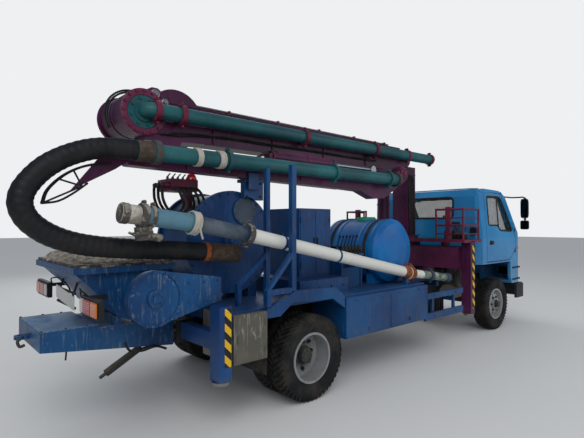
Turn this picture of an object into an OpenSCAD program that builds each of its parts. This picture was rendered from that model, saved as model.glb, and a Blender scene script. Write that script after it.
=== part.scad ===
// Truck-mounted concrete pump: cab-over lorry, squeeze pump, three-section folding boom.
// X runs forward, Y to the left, Z up from the ground. Places along X count from the rear axle.

/* [Chassis] */
// Distance from the rear axle to the front axle
wheelbase = 4175; // [3900:25:4500]
// Overall diameter of every tyre
tyre_d = 804; // [770:2:820]
// Width of a tyre
tyre_w = 226; // [200:2:235]
// Middle of the front tyre, from the centre plane
front_tyre_y = 842; // [830:2:860]
// Middle of the outer rear tyre, from the centre plane
rear_tyre_y = 967; // [955:1:970]
// Distance between the middles of the twin rear tyres
twin_pitch = 255; // [245:1:262]
// Outer width of the ladder frame
frame_w = 850; // [820:5:860]
// Height of a frame rail
rail_h = 200; // [180:5:210]
// Top of the frame rails above the ground
frame_top = 800; // [780:5:810]
// Half distance between the kingpins
kingpin_y = 700; // [690:2:706]

/* [Body] */
// Half width of the pump deck
deck_half_w = 1030; // [1000:5:1040]
// Top of the pump deck above the ground
deck_top = 935; // [930:5:950]
// Diameter of the squeeze pump drum
drum_d = 970; // [900:10:980]
// Diameter of the water barrel
barrel_d = 770; // [730:10:800]
// Length of the water barrel
barrel_len = 980; // [900:10:1100]
// Half width of the hopper tray
hopper_half_w = 575; // [540:5:580]

/* [Cab] */
// Half width of the cab
cab_half_w = 985; // [960:5:990]
// Top of the cab roof
cab_roof_z = 2210; // [2160:10:2230]
// Rear wall of the cab
cab_rear_x = 3565; // [3550:5:3600]
// Thickness of the cab walls and doors
cab_wall = 45; // [35:1:55]
// Gap round the doors
door_gap = 12; // [7:0.5:14]

/* [Boom] */
// Height of the boom foot pin
foot_z = 2680; // [2660:5:2700]
// Rear elbow pin, behind the rear axle
elbow_x = -1310; // [-1340:5:-1280]
// Height of the rear elbow pin
elbow_z = 2640; // [2630:5:2660]
// Front elbow pin
knee_x = 2200; // [2150:10:2250]
// Height of the front elbow pin
knee_z = 2340; // [2335:5:2350]
// Outer diameter of the concrete pipe on the boom
boom_pipe_d = 140; // [125:1:144]
// Outer diameter of the end hose
hose_d = 165; // [140:5:170]
// Radius of the rear elbow drums
elbow_r = 200; // [180:5:220]

/* [Outriggers] */
// Slewing mast axis and front outrigger beam
mast_x = 3100; // [3080:5:3120]
// Height of an outrigger foot above the ground when stowed
foot_gap = 380; // [370:5:400]

/* [Hidden] */
// Shift that puts the origin under the middle of the whole machine
rear_axle_x = -1437;
// Running clearances
pin_gap = 0.1;
seat_gap = 0.3;
slide_gap = 6;
round_fn = 64;

wheel_z = tyre_d / 2;
frame_half = frame_w / 2;
rail_z = frame_top - rail_h;
front_x = wheelbase;

// Boom lanes across the machine: each section folds beside the next
lane_1 = [0, 220];
lane_2 = [-270, -30];
lane_3 = [-570, -440];
pipe_2_y = -350;
pipe_2_z = 2650;
pipe_3_y = -683;
pipe_3_z = 2225;

// End hose: centre line from the boom tip, down round the tail and onto the hopper side
hose_route = [[-1545, 2225], [-1640, 2225], [-1740, 2222], [-1850, 2204], [-1960, 2168], [-2070, 2115],
    [-2170, 2045], [-2250, 1960], [-2305, 1870], [-2318, 1780], [-2280, 1690], [-2200, 1615], [-2100, 1560],
    [-1980, 1520], [-1850, 1494], [-1700, 1476], [-1540, 1462], [-1370, 1450], [-1190, 1437], [-1000, 1422],
    [-800, 1404], [-600, 1386]];
hose_sides = 12;

// Moves what is placed from the rear axle into the frame of the whole machine
module at_axle() {
    translate([rear_axle_x, 0, 0]) children();
}

// Box between two corners
module span(low, high) {
    translate(low) cube(high - low);
}

// Round bar along Y between two places
module bar_y(x, z, y0, y1, r) {
    translate([x, min(y0, y1), z]) rotate([-90, 0, 0]) cylinder(r = r, h = abs(y1 - y0), $fn = round_fn);
}

// Side profile in X and Z, as thick as the stretch from y0 to y1
module plate_y(points, y0, y1) {
    translate([0, max(y0, y1), 0]) rotate([90, 0, 0]) linear_extrude(height = abs(y1 - y0)) polygon(points);
}

// Round bar between two points in a plane of constant Y
module bar_xz(p, q, y, r, fn = 32) {
    length = norm(q - p);
    angle = atan2(q[0] - p[0], q[1] - p[1]);
    translate([p[0], y, p[1]]) rotate([0, angle, 0]) cylinder(r = r, h = length, $fn = fn);
}

// Open pipe between two points in a plane of constant Y
module pipe_xz(p, q, y, r, wall) {
    difference() {
        bar_xz(p, q, y, r);
        length = norm(q - p);
        ahead = (q - p) / length;
        bar_xz(p - ahead, q + ahead, y, r - wall);
    }
}

module both_sides() {
    children();
    mirror([0, 1, 0]) children();
}

// Chassis

rail_wall = 8;
rail_flange = 65;
frame_rear_x = -1065;
frame_front_x = 4960;
cross_members = [-950, -640, 640, 1500, 2400, 3350, 4880];

module rail() {
    difference() {
        span([frame_rear_x, frame_half - rail_flange, rail_z], [frame_front_x, frame_half, frame_top]);
        span([frame_rear_x - 1, frame_half - rail_flange - 1, rail_z + rail_wall],
            [frame_front_x + 1, frame_half - rail_wall, frame_top - rail_wall]);
    }
}

module frame() {
    color("dimgray") at_axle() {
        both_sides() rail();
        for (x = cross_members)
            bar_y(x, rail_z + rail_h / 2, -frame_half + rail_wall, frame_half - rail_wall, 45);
        // Posts under the rear edge of the cab
        both_sides() span([3590, frame_half - rail_flange, frame_top], [3660, frame_half, 1050 - seat_gap]);
    }
}

spring_y = [435, 505];
axle_tube_r = 55;
hub_bore_r = 45;
front_stub_r = 35;
kingpin_r = 18;
kingpin_eye_r = 42;
eye_low = wheel_z - 40;
eye_high = wheel_z + 40;
front_beam_z = [wheel_z - 38, wheel_z + 38];

// Leaf pack: an arched stack that thins towards its eyes
module leaf_pack(x, half_len, y0, y1, seat_z, rise, thick) {
    plate_y([[x - half_len, seat_z + rise], [x - half_len * 0.55, seat_z + rise * 0.3], [x - 80, seat_z],
        [x + 80, seat_z], [x + half_len * 0.55, seat_z + rise * 0.3], [x + half_len, seat_z + rise],
        [x + half_len, seat_z + rise + 14], [x + half_len * 0.55, seat_z + rise * 0.3 + thick * 0.6],
        [x + 80, seat_z + thick], [x - 80, seat_z + thick], [x - half_len * 0.55, seat_z + rise * 0.3 + thick * 0.6],
        [x - half_len, seat_z + rise + 14]], y0, y1);
}

module axles() {
    rear_spring_z = wheel_z + axle_tube_r - 12;
    front_spring_y = [frame_half - rail_flange, frame_half];
    color("#2b2b2d") at_axle() {
        bar_y(0, wheel_z, -(rear_tyre_y - twin_pitch - tyre_w / 2 - 25), rear_tyre_y - twin_pitch - tyre_w / 2 - 25,
            axle_tube_r);
        bar_y(0, wheel_z, -rear_tyre_y + 70, rear_tyre_y - 70, hub_bore_r - pin_gap);
        translate([0, 0, wheel_z]) sphere(r = 165, $fn = 48);
        bar_xz([0, wheel_z], [520, wheel_z + 60], 0, 45);
        both_sides() {
            leaf_pack(0, 560, spring_y[0], spring_y[1], rear_spring_z, 75, 46);
            for (x = [-560, 560])
                span([x - 35, frame_half, rear_spring_z + 60], [x + 35, spring_y[1], rail_z + 60]);
            span([front_x - 45, frame_half - rail_flange, front_beam_z[0]],
                [front_x + 45, kingpin_y - kingpin_eye_r + 12, front_beam_z[1]]);
            difference() {
                translate([front_x, kingpin_y, eye_low])
                    cylinder(r = kingpin_eye_r, h = eye_high - eye_low, $fn = round_fn);
                translate([front_x, kingpin_y, eye_low - 1])
                    cylinder(r = kingpin_r + pin_gap, h = eye_high - eye_low + 2, $fn = round_fn);
            }
            leaf_pack(front_x, 560, front_spring_y[0], front_spring_y[1], front_beam_z[1], 90, 42);
            for (x = [front_x - 560, front_x + 560])
                span([x - 30, front_spring_y[0], front_beam_z[1] + 86], [x + 30, front_spring_y[1], rail_z]);
        }
        span([front_x - 45, -(frame_half - rail_flange), front_beam_z[0]],
            [front_x + 45, frame_half - rail_flange, front_beam_z[1]]);
    }
}

engine_low = 480;
module engine() {
    color("#4a4c4d") at_axle()
        {
            span([front_x - 500, -270, engine_low], [front_x + 405, 270, frame_top + 120]);
            // Feet on the lower flanges of the rails
            for (x = [front_x - 420, front_x + 250])
                span([x, -frame_half + rail_wall + 1, rail_z + rail_wall + seat_gap],
                    [x + 90, frame_half - rail_wall - 1, rail_z + 60]);
        }
}

// Pump deck: plate on bearers, with an arched side beam over each rear wheel
deck_plate = 20;
deck_x = [-900, 2620];
deck_narrow = 840;
arch_beam = [[-560, 850], [-410, 850], [-270, 950], [260, 930], [430, 820], [430, 935], [300, 1035], [-230, 1055],
    [-530, 935], [-560, 935]];
skirt_x = [450, 1950];
skirt_z = [500, 912];
body_half_w = deck_half_w + 50;
skirt_y = [600, body_half_w];
rail_bars = [[720, 790], [460, 545]];
guard_y = deck_half_w + 20;

module deck() {
    color("#123a78") at_axle() {
        span([deck_x[0], -deck_half_w, deck_top - deck_plate], [skirt_x[1], deck_half_w, deck_top]);
        span([deck_x[0], -deck_narrow, deck_top - deck_plate], [deck_x[1], deck_narrow, deck_top]);
        span([deck_x[1] - 60, -deck_narrow, frame_top + 20], [deck_x[1], deck_narrow, deck_top - deck_plate]);
        both_sides() {
            span([deck_x[0], frame_half - rail_flange, frame_top], [deck_x[1], frame_half, deck_top - deck_plate]);
            plate_y(arch_beam, deck_half_w, body_half_w);
            span([deck_x[0], -590, frame_top + 20], [deck_x[0] + 60, 590, deck_top - deck_plate]);
            for (x = [560, 1200, 1850])
                span([x, -deck_half_w, frame_top + 20], [x + 60, deck_half_w, deck_top - deck_plate]);
            span([skirt_x[0], skirt_y[0], skirt_z[0]], [skirt_x[1], skirt_y[1], skirt_z[1]]);
            for (bar = rail_bars)
                span([skirt_x[1], guard_y - 30, bar[0]], [2890, guard_y, bar[1]]);
            for (x = [2150, 2680])
                span([x, guard_y - 60, 460], [x + 40, guard_y - 30, 790]);
            for (x = [2150, 2680])
                span([x, frame_half, 640], [x + 40, guard_y - 60, 680]);
        }
    }
}

step_half_w = 370;
step_rear_x = -2130;
step_top = 820;
module rear_step() {
    color("#1c5fae") at_axle() {
        plate_y([[step_rear_x, 700], [frame_rear_x, 580], [frame_rear_x, step_top], [step_rear_x, step_top]],
            -step_half_w, step_half_w);
        span([step_rear_x, -step_half_w, step_top], [-1710, step_half_w, step_top + 28]);
        difference() {
            union() {
                span([step_rear_x - 60, -35, 748], [step_rear_x, 35, 778]);
                translate([step_rear_x - 60, 0, 748]) cylinder(r = 42, h = 30, $fn = round_fn);
            }
            translate([step_rear_x - 60, 0, 747]) cylinder(r = 20, h = 32, $fn = round_fn);
        }
    }
}

// Hopper: trough round the agitator shaft, with a flanged tray on top
agitator = [-1460, 1090];
trough_r = 215;
hopper_wall = 10;
hopper_body_w = 500;
tray_x = [-1960, -1150];
tray_z = [1280, 1330];
cover_y = [790, 860];
function trough(r) = [for (a = [200 : 20 : 340]) agitator + r * [cos(a), sin(a)]];
function hopper_profile(w) = concat([[tray_x[0] + 30 + w, tray_z[0]]], trough(trough_r - w),
    [[tray_x[1] - 30 - w, tray_z[0]]]);

module hopper() {
    color("#15509a") at_axle() {
        difference() {
            plate_y(hopper_profile(0), -hopper_body_w, hopper_body_w);
            translate([0, 0, 0.01])
                plate_y(hopper_profile(hopper_wall), -hopper_body_w + hopper_wall, hopper_body_w - hopper_wall);
        }
        difference() {
            span([tray_x[0], -hopper_half_w, tray_z[0]], [tray_x[1], hopper_half_w, tray_z[1]]);
            span([tray_x[0] + 40, -hopper_body_w + hopper_wall, tray_z[0] - 1],
                [tray_x[1] - 40, hopper_body_w - hopper_wall, tray_z[1] + 1]);
        }
        // Teardrop chain cover on the right side, carried by the agitator bearing
        bar_y(agitator[0], agitator[1], -cover_y[1], -cover_y[0], 210);
        plate_y([[-1430, 1298], [-880, 1210], [-880, 1020], [-1430, 882]], -cover_y[1], -cover_y[0]);
        bar_y(agitator[0], agitator[1], -cover_y[0], -hopper_body_w, 60);
        // Legs that stand the trough on the step box
        both_sides() {
            span([-1420, 300, step_top], [-1360, step_half_w, 885]);
            span([-1590, 300, step_top], [-1530, step_half_w, 905]);
        }
    }
}

grate_z = 22;
grate_slots = [-480 : 120 : 480];
module hopper_grate() {
    hinge_x = tray_x[1] - 24;
    color("#6d7a70") at_axle() difference() {
        span([tray_x[0] + 14, -hopper_half_w + 15, tray_z[1] + seat_gap],
            [hinge_x, hopper_half_w - 15, tray_z[1] + seat_gap + grate_z]);
        for (y = grate_slots)
            span([tray_x[0] + 90, y - 42, tray_z[1] - 1], [hinge_x - 70, y + 42, tray_z[1] + grate_z + 2]);
    }
}

lamp_y = [480, 880];
lamp_x = -1880;
lamp_z = [980, 1120];
module lamps() {
    color("#b5401c") at_axle() {
        both_sides() {
            difference() {
                span([lamp_x, lamp_y[0], lamp_z[0]], [lamp_x + 36, lamp_y[1], lamp_z[1]]);
                span([lamp_x - 1, lamp_y[0] + 12, lamp_z[0] + 12], [lamp_x + 20, lamp_y[1] - 12, lamp_z[1] - 12]);
            }
            for (i = [0 : 2])
                span([lamp_x - 6, lamp_y[0] + 14 + i * 125, lamp_z[0] + 14],
                    [lamp_x + 20, lamp_y[0] + 14 + i * 125 + 120, lamp_z[1] - 14]);
            span([lamp_x + 36, hopper_body_w, 1080], [-1700, hopper_body_w + 30, 1110]);
        }
    }
}

// Squeeze pump: a drum on its side, on two saddles
drum_x = -525;
drum_z = deck_top + 65 + drum_d / 2;
drum_y = [-500, 100];
cover_at = [drum_x + 135, drum_z + 297];
cover_r = 134;
curve_gap = 0.9;
module pump_drum() {
    color("#1250a0") at_axle() {
        bar_y(drum_x, drum_z, drum_y[0] + 40, drum_y[1] - 40, drum_d / 2 - 25);
        bar_y(drum_x, drum_z, drum_y[0], drum_y[0] + 40, drum_d / 2);
        bar_y(drum_x, drum_z, drum_y[1] - 40, drum_y[1], drum_d / 2);
        bar_y(cover_at[0], cover_at[1], drum_y[0] - 12, drum_y[0], cover_r);
        bar_y(drum_x, drum_z, drum_y[0] - 30, drum_y[0], 110);
        difference() {
            both_ends = [drum_x - 330, drum_x + 230];
            for (x = both_ends)
                span([x, drum_y[0] + 60, deck_top], [x + 100, drum_y[1] - 60, drum_z - drum_d / 4]);
            bar_y(drum_x, drum_z, drum_y[0], drum_y[1], drum_d / 2 - 26);
        }
    }
}

// Posts, braces and boom rest
post_1 = [-250, -1055];
post_2 = [-360, -820];
rest_x = [-430, -200];
rest_top = 2090;
module post(at, size, z0, z1) {
    span([at[0] - size / 2, at[1] - size / 2, z0], [at[0] + size / 2, at[1] + size / 2, z1]);
}

module rack() {
    color("#164f9c") at_axle() {
        post(post_1, 50, 1055 + seat_gap, 2190);
        post(post_2, 45, deck_top, 2170);
        // Saddles under and beside the delivery pipe
        span([-262, -1031, 1440], [-238, -993.5, 1510]);
        plate_y([[1680, deck_top], [1720, deck_top], [1720, 1005.5], [1680, 1013.8]], -960, -900);
        plate_y([[-560, 1085], [-560, 1040], [-275, 1345], [-275, 1400]], -1080, -1035);
        span([-560, -1080, 1040], [-275, -1035, 1085]);
        span([-560, -1080, 943], [-515, -1035, 1085]);
        plate_y([[-700, 1130], [-700, 1080], [-380, 1340], [-380, 1395]], -842, -800);
        span([-700, -842, deck_top], [-655, -800, 1100]);
        // Boom rest: plate on the drum's face, pad and guide ear for the stowed section
        difference() {
            span([rest_x[0], -560, 1890], [rest_x[1], drum_y[0], rest_top]);
            bar_y(cover_at[0], cover_at[1], -561, drum_y[0] + 1, cover_r + curve_gap);
        }
        span([rest_x[0], lane_3[0], rest_top - 30], [rest_x[1], lane_3[1], rest_top]);
        span([-400, -595, 1990], [-280, -576, 2150]);
        span([-400, -595, 1990], [-280, -560, 2020]);
    }
}

// Valve block on a shelf behind the drum, and the beacon on its pole
valve_x = [-1075, -800];
valve_y = [-330, -60];
valve_z = 1960;
module valve_block() {
    color("#6a1f45") at_axle() {
        span([valve_x[0], valve_y[0], valve_z], [valve_x[1], valve_y[1], valve_z + 110]);
        for (y = [-300, -215, -130])
            bar_xz([valve_x[0] - 60, valve_z + 55], [valve_x[0] + 1, valve_z + 55], y, 24);
        difference() {
            span([-860, -260, drum_z], [-820, -130, valve_z]);
            bar_y(drum_x, drum_z, -261, -129, drum_d / 2 - 25 + curve_gap);
        }
    }
}

beacon_at = [-700, -20];
module beacon() {
    color("#c8641a") at_axle() {
        difference() {
            translate([beacon_at[0], beacon_at[1], 1890]) cylinder(r = 12, h = 165, $fn = 24);
            bar_y(drum_x, drum_z, drum_y[0], drum_y[1], drum_d / 2 - 25 + curve_gap);
        }
        translate([beacon_at[0], beacon_at[1], 2050]) cylinder(r = 62, h = 22, $fn = round_fn);
        translate([beacon_at[0], beacon_at[1], 2072]) cylinder(r = 54, h = 50, $fn = round_fn);
        translate([beacon_at[0], beacon_at[1], 2122]) sphere(r = 40, $fn = 32);
    }
}

delivery_y = -930;
delivery_wall = 6;
// Joints of the delivery pipe: place along X and height, then the radius of the stretch ahead
delivery_points = [[[-1760, 1735], 70], [[-1180, 1662], 66], [[-660, 1565], 63], [[1770, 1060], 52],
    [[2720, 925], 0]];
module delivery_pipe() {
    count = len(delivery_points);
    color("#d9d8cf") at_axle() difference() {
        union() {
            for (i = [0 : count - 2])
                bar_xz(delivery_points[i][0], delivery_points[i + 1][0], delivery_y, delivery_points[i][1]);
            for (i = [1 : count - 2]) {
                p = delivery_points[i][0];
                ahead = (delivery_points[i + 1][0] - p) / norm(delivery_points[i + 1][0] - p);
                bar_xz(p - 28 * ahead, p + 28 * ahead, delivery_y, 84);
            }
        }
        for (i = [0 : count - 2]) {
            p = delivery_points[i][0];
            q = delivery_points[i + 1][0];
            ahead = (q - p) / norm(q - p);
            bar_xz(p - ahead, q + ahead, delivery_y, delivery_points[i][1] - delivery_wall);
        }
    }
}

cabinet_x = [260, 740];
cabinet_y = [-590, -100];
cabinet_z = [1090, 1825];
module control_cabinet() {
    color("#0f4590") at_axle() {
        span([cabinet_x[0], cabinet_y[0], cabinet_z[0]], [cabinet_x[1], cabinet_y[1], cabinet_z[1]]);
        span([30, -850, deck_top], [740, -100, cabinet_z[0]]);
    }
}

barrel_x = 1660;
barrel_y0 = -850;
barrel_z = deck_top + 12 + barrel_d / 2;
module water_barrel() {
    r = barrel_d / 2;
    dome = 90;
    color("#0a6fc2") at_axle() {
        translate([barrel_x, barrel_y0, barrel_z]) rotate([-90, 0, 0]) rotate_extrude($fn = 96)
            polygon([[0, 0], [r * 0.55, 12], [r * 0.86, 45], [r, dome], [r, barrel_len - dome],
                [r * 0.86, barrel_len - 45], [r * 0.55, barrel_len - 12], [0, barrel_len]]);
        translate([barrel_x, barrel_y0 + barrel_len / 2, barrel_z + r - 20])
            cylinder(r = 115, h = 50, $fn = round_fn);
        difference() {
            for (y = [barrel_y0 + 180, barrel_y0 + barrel_len - 280])
                span([barrel_x - 260, y, deck_top], [barrel_x + 260, y + 100, barrel_z - r * 0.6]);
            bar_y(barrel_x, barrel_z, barrel_y0, barrel_y0 + barrel_len, r - 1);
        }
    }
}

// Front outriggers: a cross box behind the cab, with beams that slide out and jacks in their ends
beam_x = [2990, 3210];
beam_z = [1040, 1320];
box_wall = 14;
leg_x = [3055, 3170];
leg_y = [body_half_w - 140, body_half_w];
jack_r = 45;
rear_leg_x = [-1035, -920];
leg_low = foot_gap + 27;
front_travel = 550;

module outrigger_housings() {
    color("#6b2458") at_axle() {
        difference() {
            span([beam_x[0] - box_wall, -leg_y[0] + 8, beam_z[0] - box_wall],
                [beam_x[1] + box_wall, leg_y[0] - 8, beam_z[1] + box_wall]);
            for (s = [-1, 1])
                span([beam_x[0], s > 0 ? 12 : -leg_y[0] - 1, beam_z[0]],
                    [beam_x[1], s > 0 ? leg_y[0] + 1 : -12, beam_z[1]]);
        }
        // Bearers from the frame up to the cross box
        both_sides() span([beam_x[0], frame_half - rail_flange, frame_top], [beam_x[1], frame_half,
            beam_z[0] - box_wall]);
        // Rear leg boxes with their arms from the frame
        both_sides() {
            difference() {
                span([rear_leg_x[0], leg_y[0], leg_low], [rear_leg_x[1], leg_y[1], 1000]);
                translate([(rear_leg_x[0] + rear_leg_x[1]) / 2, (leg_y[0] + leg_y[1]) / 2, leg_low - 1])
                    cylinder(r = jack_r + seat_gap, h = 575, $fn = round_fn);
            }
            span([-1020, frame_half, 640], [-935, leg_y[0], 780]);
        }
    }
}

module outrigger_beam() {
    difference() {
        union() {
            span([beam_x[0] + slide_gap, 20, beam_z[0] + seat_gap], [beam_x[1] - slide_gap, leg_y[0],
                beam_z[1] - slide_gap]);
            span([leg_x[0], leg_y[0], leg_low], [leg_x[1], leg_y[1], 1410]);
        }
        span([beam_x[0] + slide_gap + box_wall, 19, beam_z[0] + box_wall], [beam_x[1] - slide_gap - box_wall,
            leg_y[0] - 20, beam_z[1] - slide_gap - box_wall]);
        translate([(leg_x[0] + leg_x[1]) / 2, (leg_y[0] + leg_y[1]) / 2, leg_low - 1])
            cylinder(r = jack_r + seat_gap, h = 950, $fn = round_fn);
    }
}

module jack(x, top) {
    translate([x, (leg_y[0] + leg_y[1]) / 2, foot_gap + 25]) cylinder(r = jack_r, h = top, $fn = round_fn);
    translate([x, (leg_y[0] + leg_y[1]) / 2, foot_gap]) cylinder(r = 75, h = 25, $fn = round_fn);
}

module beam_left() { color("#7a2a66") at_axle() outrigger_beam(); }
module beam_right() { color("#7a2a66") at_axle() mirror([0, 1, 0]) outrigger_beam(); }
front_jack_x = (leg_x[0] + leg_x[1]) / 2;
rear_jack_x = (rear_leg_x[0] + rear_leg_x[1]) / 2;
module jack_front_left() { color("silver") at_axle() jack(front_jack_x, 900); }
module jack_front_right() { color("silver") at_axle() mirror([0, 1, 0]) jack(front_jack_x, 900); }
module jack_rear_left() { color("silver") at_axle() jack(rear_jack_x, 540); }
module jack_rear_right() { color("silver") at_axle() mirror([0, 1, 0]) jack(rear_jack_x, 540); }

// Slewing mast: base drum on the cross box, box column, head tongue for the boom foot
mast_y = 40;
column_x = [2985, 3220];
column_y = [-90, 170];
tongue_y = [50, 170];
column_top = 2550;
foot_pin_r = 40;
luff_x = 2660;
luff_y = 110;
luff_base_z = 1480;
module mast() {
    color("#5e1f4d") at_axle() {
        translate([mast_x, mast_y, beam_z[1] + box_wall]) cylinder(r = 250, h = 90, $fn = round_fn);
        translate([mast_x, mast_y, beam_z[1] + box_wall + 90]) cylinder(r = 215, h = 60, $fn = round_fn);
        span([column_x[0], column_y[0], 1484], [column_x[1], column_y[1], column_top]);
        difference() {
            union() {
                span([column_x[0] + 20, tongue_y[0], column_top], [column_x[1] - 10, tongue_y[1], foot_z]);
                bar_y(mast_x, foot_z, tongue_y[0], tongue_y[1], 105);
            }
            bar_y(mast_x, foot_z, tongue_y[0] - 1, tongue_y[1] + 1, foot_pin_r + pin_gap);
        }
        // Bracket that carries the foot of the luffing cylinder
        for (y = [luff_y - 75, luff_y + 45])
            difference() {
                plate_y([[column_x[0], 1500], [column_x[0], 1400 + 84], [luff_x - 60, luff_base_z - 50],
                    [luff_x - 60, luff_base_z + 50], [column_x[0], 1640]], y, y + 30);
                bar_y(luff_x, luff_base_z, y - 1, y + 31, 25 + pin_gap);
            }
    }
}

// Walkway behind the cab, with its handrail
walk_x = [2880, 3380];
walk_z = [1400, 1440];
rail_r = 15;
module platform() {
    color("#7c1a3c") at_axle() {
        difference() {
            span([walk_x[0], -body_half_w, walk_z[0]], [walk_x[1], body_half_w, walk_z[1]]);
            translate([mast_x, mast_y, walk_z[0] - 1]) cylinder(r = 262, h = 60, $fn = round_fn);
            span([walk_x[0] - 1, luff_y - 120, walk_z[0] - 1], [mast_x, luff_y + 120, walk_z[1] + 1]);
            both_sides() span([leg_x[0] - 8, leg_y[0] - 8, walk_z[0] - 1], [leg_x[1] + 8, 1090, 1418]);
        }
        both_sides() {
            for (p = [[2900, -640], [2900, -guard_y], [3350, -guard_y]])
                translate([p[0], p[1], walk_z[1]]) cylinder(r = rail_r, h = 440, $fn = 24);
            for (z = [1640, 1865]) {
                bar_y(2900, z, -guard_y, -640, rail_r);
                bar_xz([2900, z], [3350, z], -guard_y, rail_r, 24);
            }
            span([2885, -860, walk_z[1]], [2945, -790, 1900]);
            span([beam_x[0] + 40, -700, beam_z[1] + box_wall], [beam_x[1] - 40, -640, walk_z[0]]);
        }
    }
}

bumper_x = [5150, 5275];
bumper_half = 900;
bumper_z = [430, 650];
module bumper() {
    color("#3a3c3f") at_axle() {
        span([bumper_x[0], -bumper_half, bumper_z[0]], [bumper_x[1], bumper_half, bumper_z[1]]);
        both_sides() plate_z([[bumper_x[1], bumper_half], [bumper_x[0], bumper_half], [4830, bumper_half + 50],
            [4830, bumper_half + 90], [bumper_x[0] - 50, bumper_half + 90]], bumper_z[0], bumper_z[1]);
        both_sides() span([frame_front_x - 100, frame_half - rail_flange + 20, rail_z + 10],
            [bumper_x[0], frame_half - rail_wall - seat_gap, bumper_z[1]]);
    }
}

// Plan outline in X and Y, between two heights
module plate_z(points, z0, z1) {
    translate([0, 0, z0]) linear_extrude(height = z1 - z0) polygon(points);
}

side_box_top = deck_top - deck_plate - 1;
module side_tanks() {
    color("#6f6f63") at_axle() {
        both_sides() {
            span([deck_x[0], skirt_y[0], 520], [arch_beam[0][0] - seat_gap, body_half_w, side_box_top]);
            span([deck_x[0], frame_half, 640], [deck_x[0] + 40, skirt_y[0], 689]);
        }
        // Fuel tank and air tanks
        span([2150, frame_half + 8, 470], [2800, 960, 640]);
        span([2300, frame_half, 560], [2360, frame_half + 8, 700]);
        bar_xz([3260, 640], [3560, 640], -600, 110);
        span([3350, -500, 600], [3410, -frame_half, 660]);
    }
}

// Cab: side profile, inset by w for the inner face
arch_r = 565;
arch_c = [4155, 435];
function cab_side(w) = [[cab_rear_x + w, 1050 + w], [cab_rear_x + w, cab_roof_z - 130 - w * 0.5],
    [cab_rear_x + 60 + w, cab_roof_z - 20 - w], [cab_rear_x + 300, cab_roof_z - w], [4330 - w * 0.4, cab_roof_z - 10 - w],
    [4480 - w, cab_roof_z - 60 - w], [5040 - w, 1310], [5150 - w, 1180], [5245 - w, 900], [5255 - w, 690 + w],
    [4600, 690 + w], [4600, 1050 + w]];
// Front view, inset by w
function cab_front(w) = [[-cab_half_w + w, 600], [-cab_half_w + w, 1450], [-cab_half_w + 50 + w, 2100],
    [-cab_half_w + 150 + w, 2300], [cab_half_w - 150 - w, 2300], [cab_half_w - 50 - w, 2100],
    [cab_half_w - w, 1450], [cab_half_w - w, 600]];
// Plan view, inset by w
function cab_plan(w) = [[cab_rear_x + w, -cab_half_w + 90 + w], [cab_rear_x + 60 + w * 0.5, -cab_half_w + w],
    [4900, -cab_half_w + w], [5150 - w, -cab_half_w + 130 + w * 0.5], [5300 - w, -300], [5300 - w, 300],
    [5150 - w, cab_half_w - 130 - w * 0.5], [4900, cab_half_w - w], [cab_rear_x + 60 + w * 0.5, cab_half_w - w],
    [cab_rear_x + w, cab_half_w - 90 - w]];

tunnel_x = 5190;
tunnel_half_w = 460;
tunnel_z = 880;
module cab_solid(w) {
    difference() {
        intersection() {
            plate_y(cab_side(w), -1100, 1100);
            translate([3500, 0, 0]) rotate([90, 0, 90]) linear_extrude(height = 2000) polygon(cab_front(w));
            plate_z(cab_plan(w), 500, 2400);
        }
        // Room for the frame rails under the front floor
        span([4500, -tunnel_half_w - w, 600], [tunnel_x + w, tunnel_half_w + w, tunnel_z + w]);
    }
}

door_x = [3770, 4800];
door_low = 1085;
// Nearest that a door comes to the centre plane, at its leaning top
door_inner_y = cab_half_w - 130;
door_high = 2150;
// Door outline: straight rear edge, front edge along the windscreen pillar
function door_outline(g) = [[door_x[0] - g, door_low - g], [door_x[0] - g, door_high + g],
    [4350 + g, door_high + g], [door_x[1] + g, 1420 + g], [door_x[1] + g, 1240 - g], [4560 + g, door_low - g]];
window_outline = [[3850, 1640], [3850, 2090], [4330, 2090], [4690, 1540], [4250, 1560], [4150, 1640]];
rear_window = [[-540, 1760], [540, 1760], [540, 2070], [-540, 2070]];

module cab_shell_solid() {
    difference() {
        cab_solid(0);
        cab_solid(cab_wall);
        plate_y([for (a = [0 : 12 : 180]) arch_c + arch_r * [cos(a), sin(a)]], -1200, 1200);
    }
}

module windscreen_cut() {
    // Opening in the sloping front, between the pillars
    translate([4700, 0, 1760]) rotate([0, atan2(-560, 840) + 90, 0]) span([-430, -820, -400], [400, 820, 600]);
}

module cab_shell() {
    color("#3f8fd0") at_axle() difference() {
        cab_shell_solid();
        for (s = [-1, 1]) plate_y(door_outline(door_gap), s * door_inner_y, s * 1100);
        windscreen_cut();
        translate([cab_rear_x - 10, 0, 0]) rotate([90, 0, 90]) linear_extrude(height = 100) polygon(rear_window);
    }
}

module cab_glass() {
    glass_in = 16;
    color([0.5, 0.65, 0.7, 0.4]) at_axle() {
        intersection() {
            difference() {
                cab_solid(glass_in);
                cab_solid(glass_in + 6);
            }
            windscreen_cut();
        }
        translate([cab_rear_x + glass_in, 0, 0]) rotate([90, 0, 90]) linear_extrude(height = 6) polygon(rear_window);
    }
}

module cab_interior() {
    seat_z = 1050 + cab_wall + seat_gap;
    color("#33353a") at_axle() {
        for (y = [-520, 520]) {
            span([3760, y - 230, seat_z], [4250, y + 230, 1240]);
            span([3700, y - 230, 1240 + seat_gap], [3820, y + 230, 1800]);
        }
        span([3700, -230, seat_z], [4250, 230, 1200]);
        intersection() {
            cab_solid(cab_wall + seat_gap);
            span([4740, -960, 1180], [5150, 960, 1320]);
        }
    }
}

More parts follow.
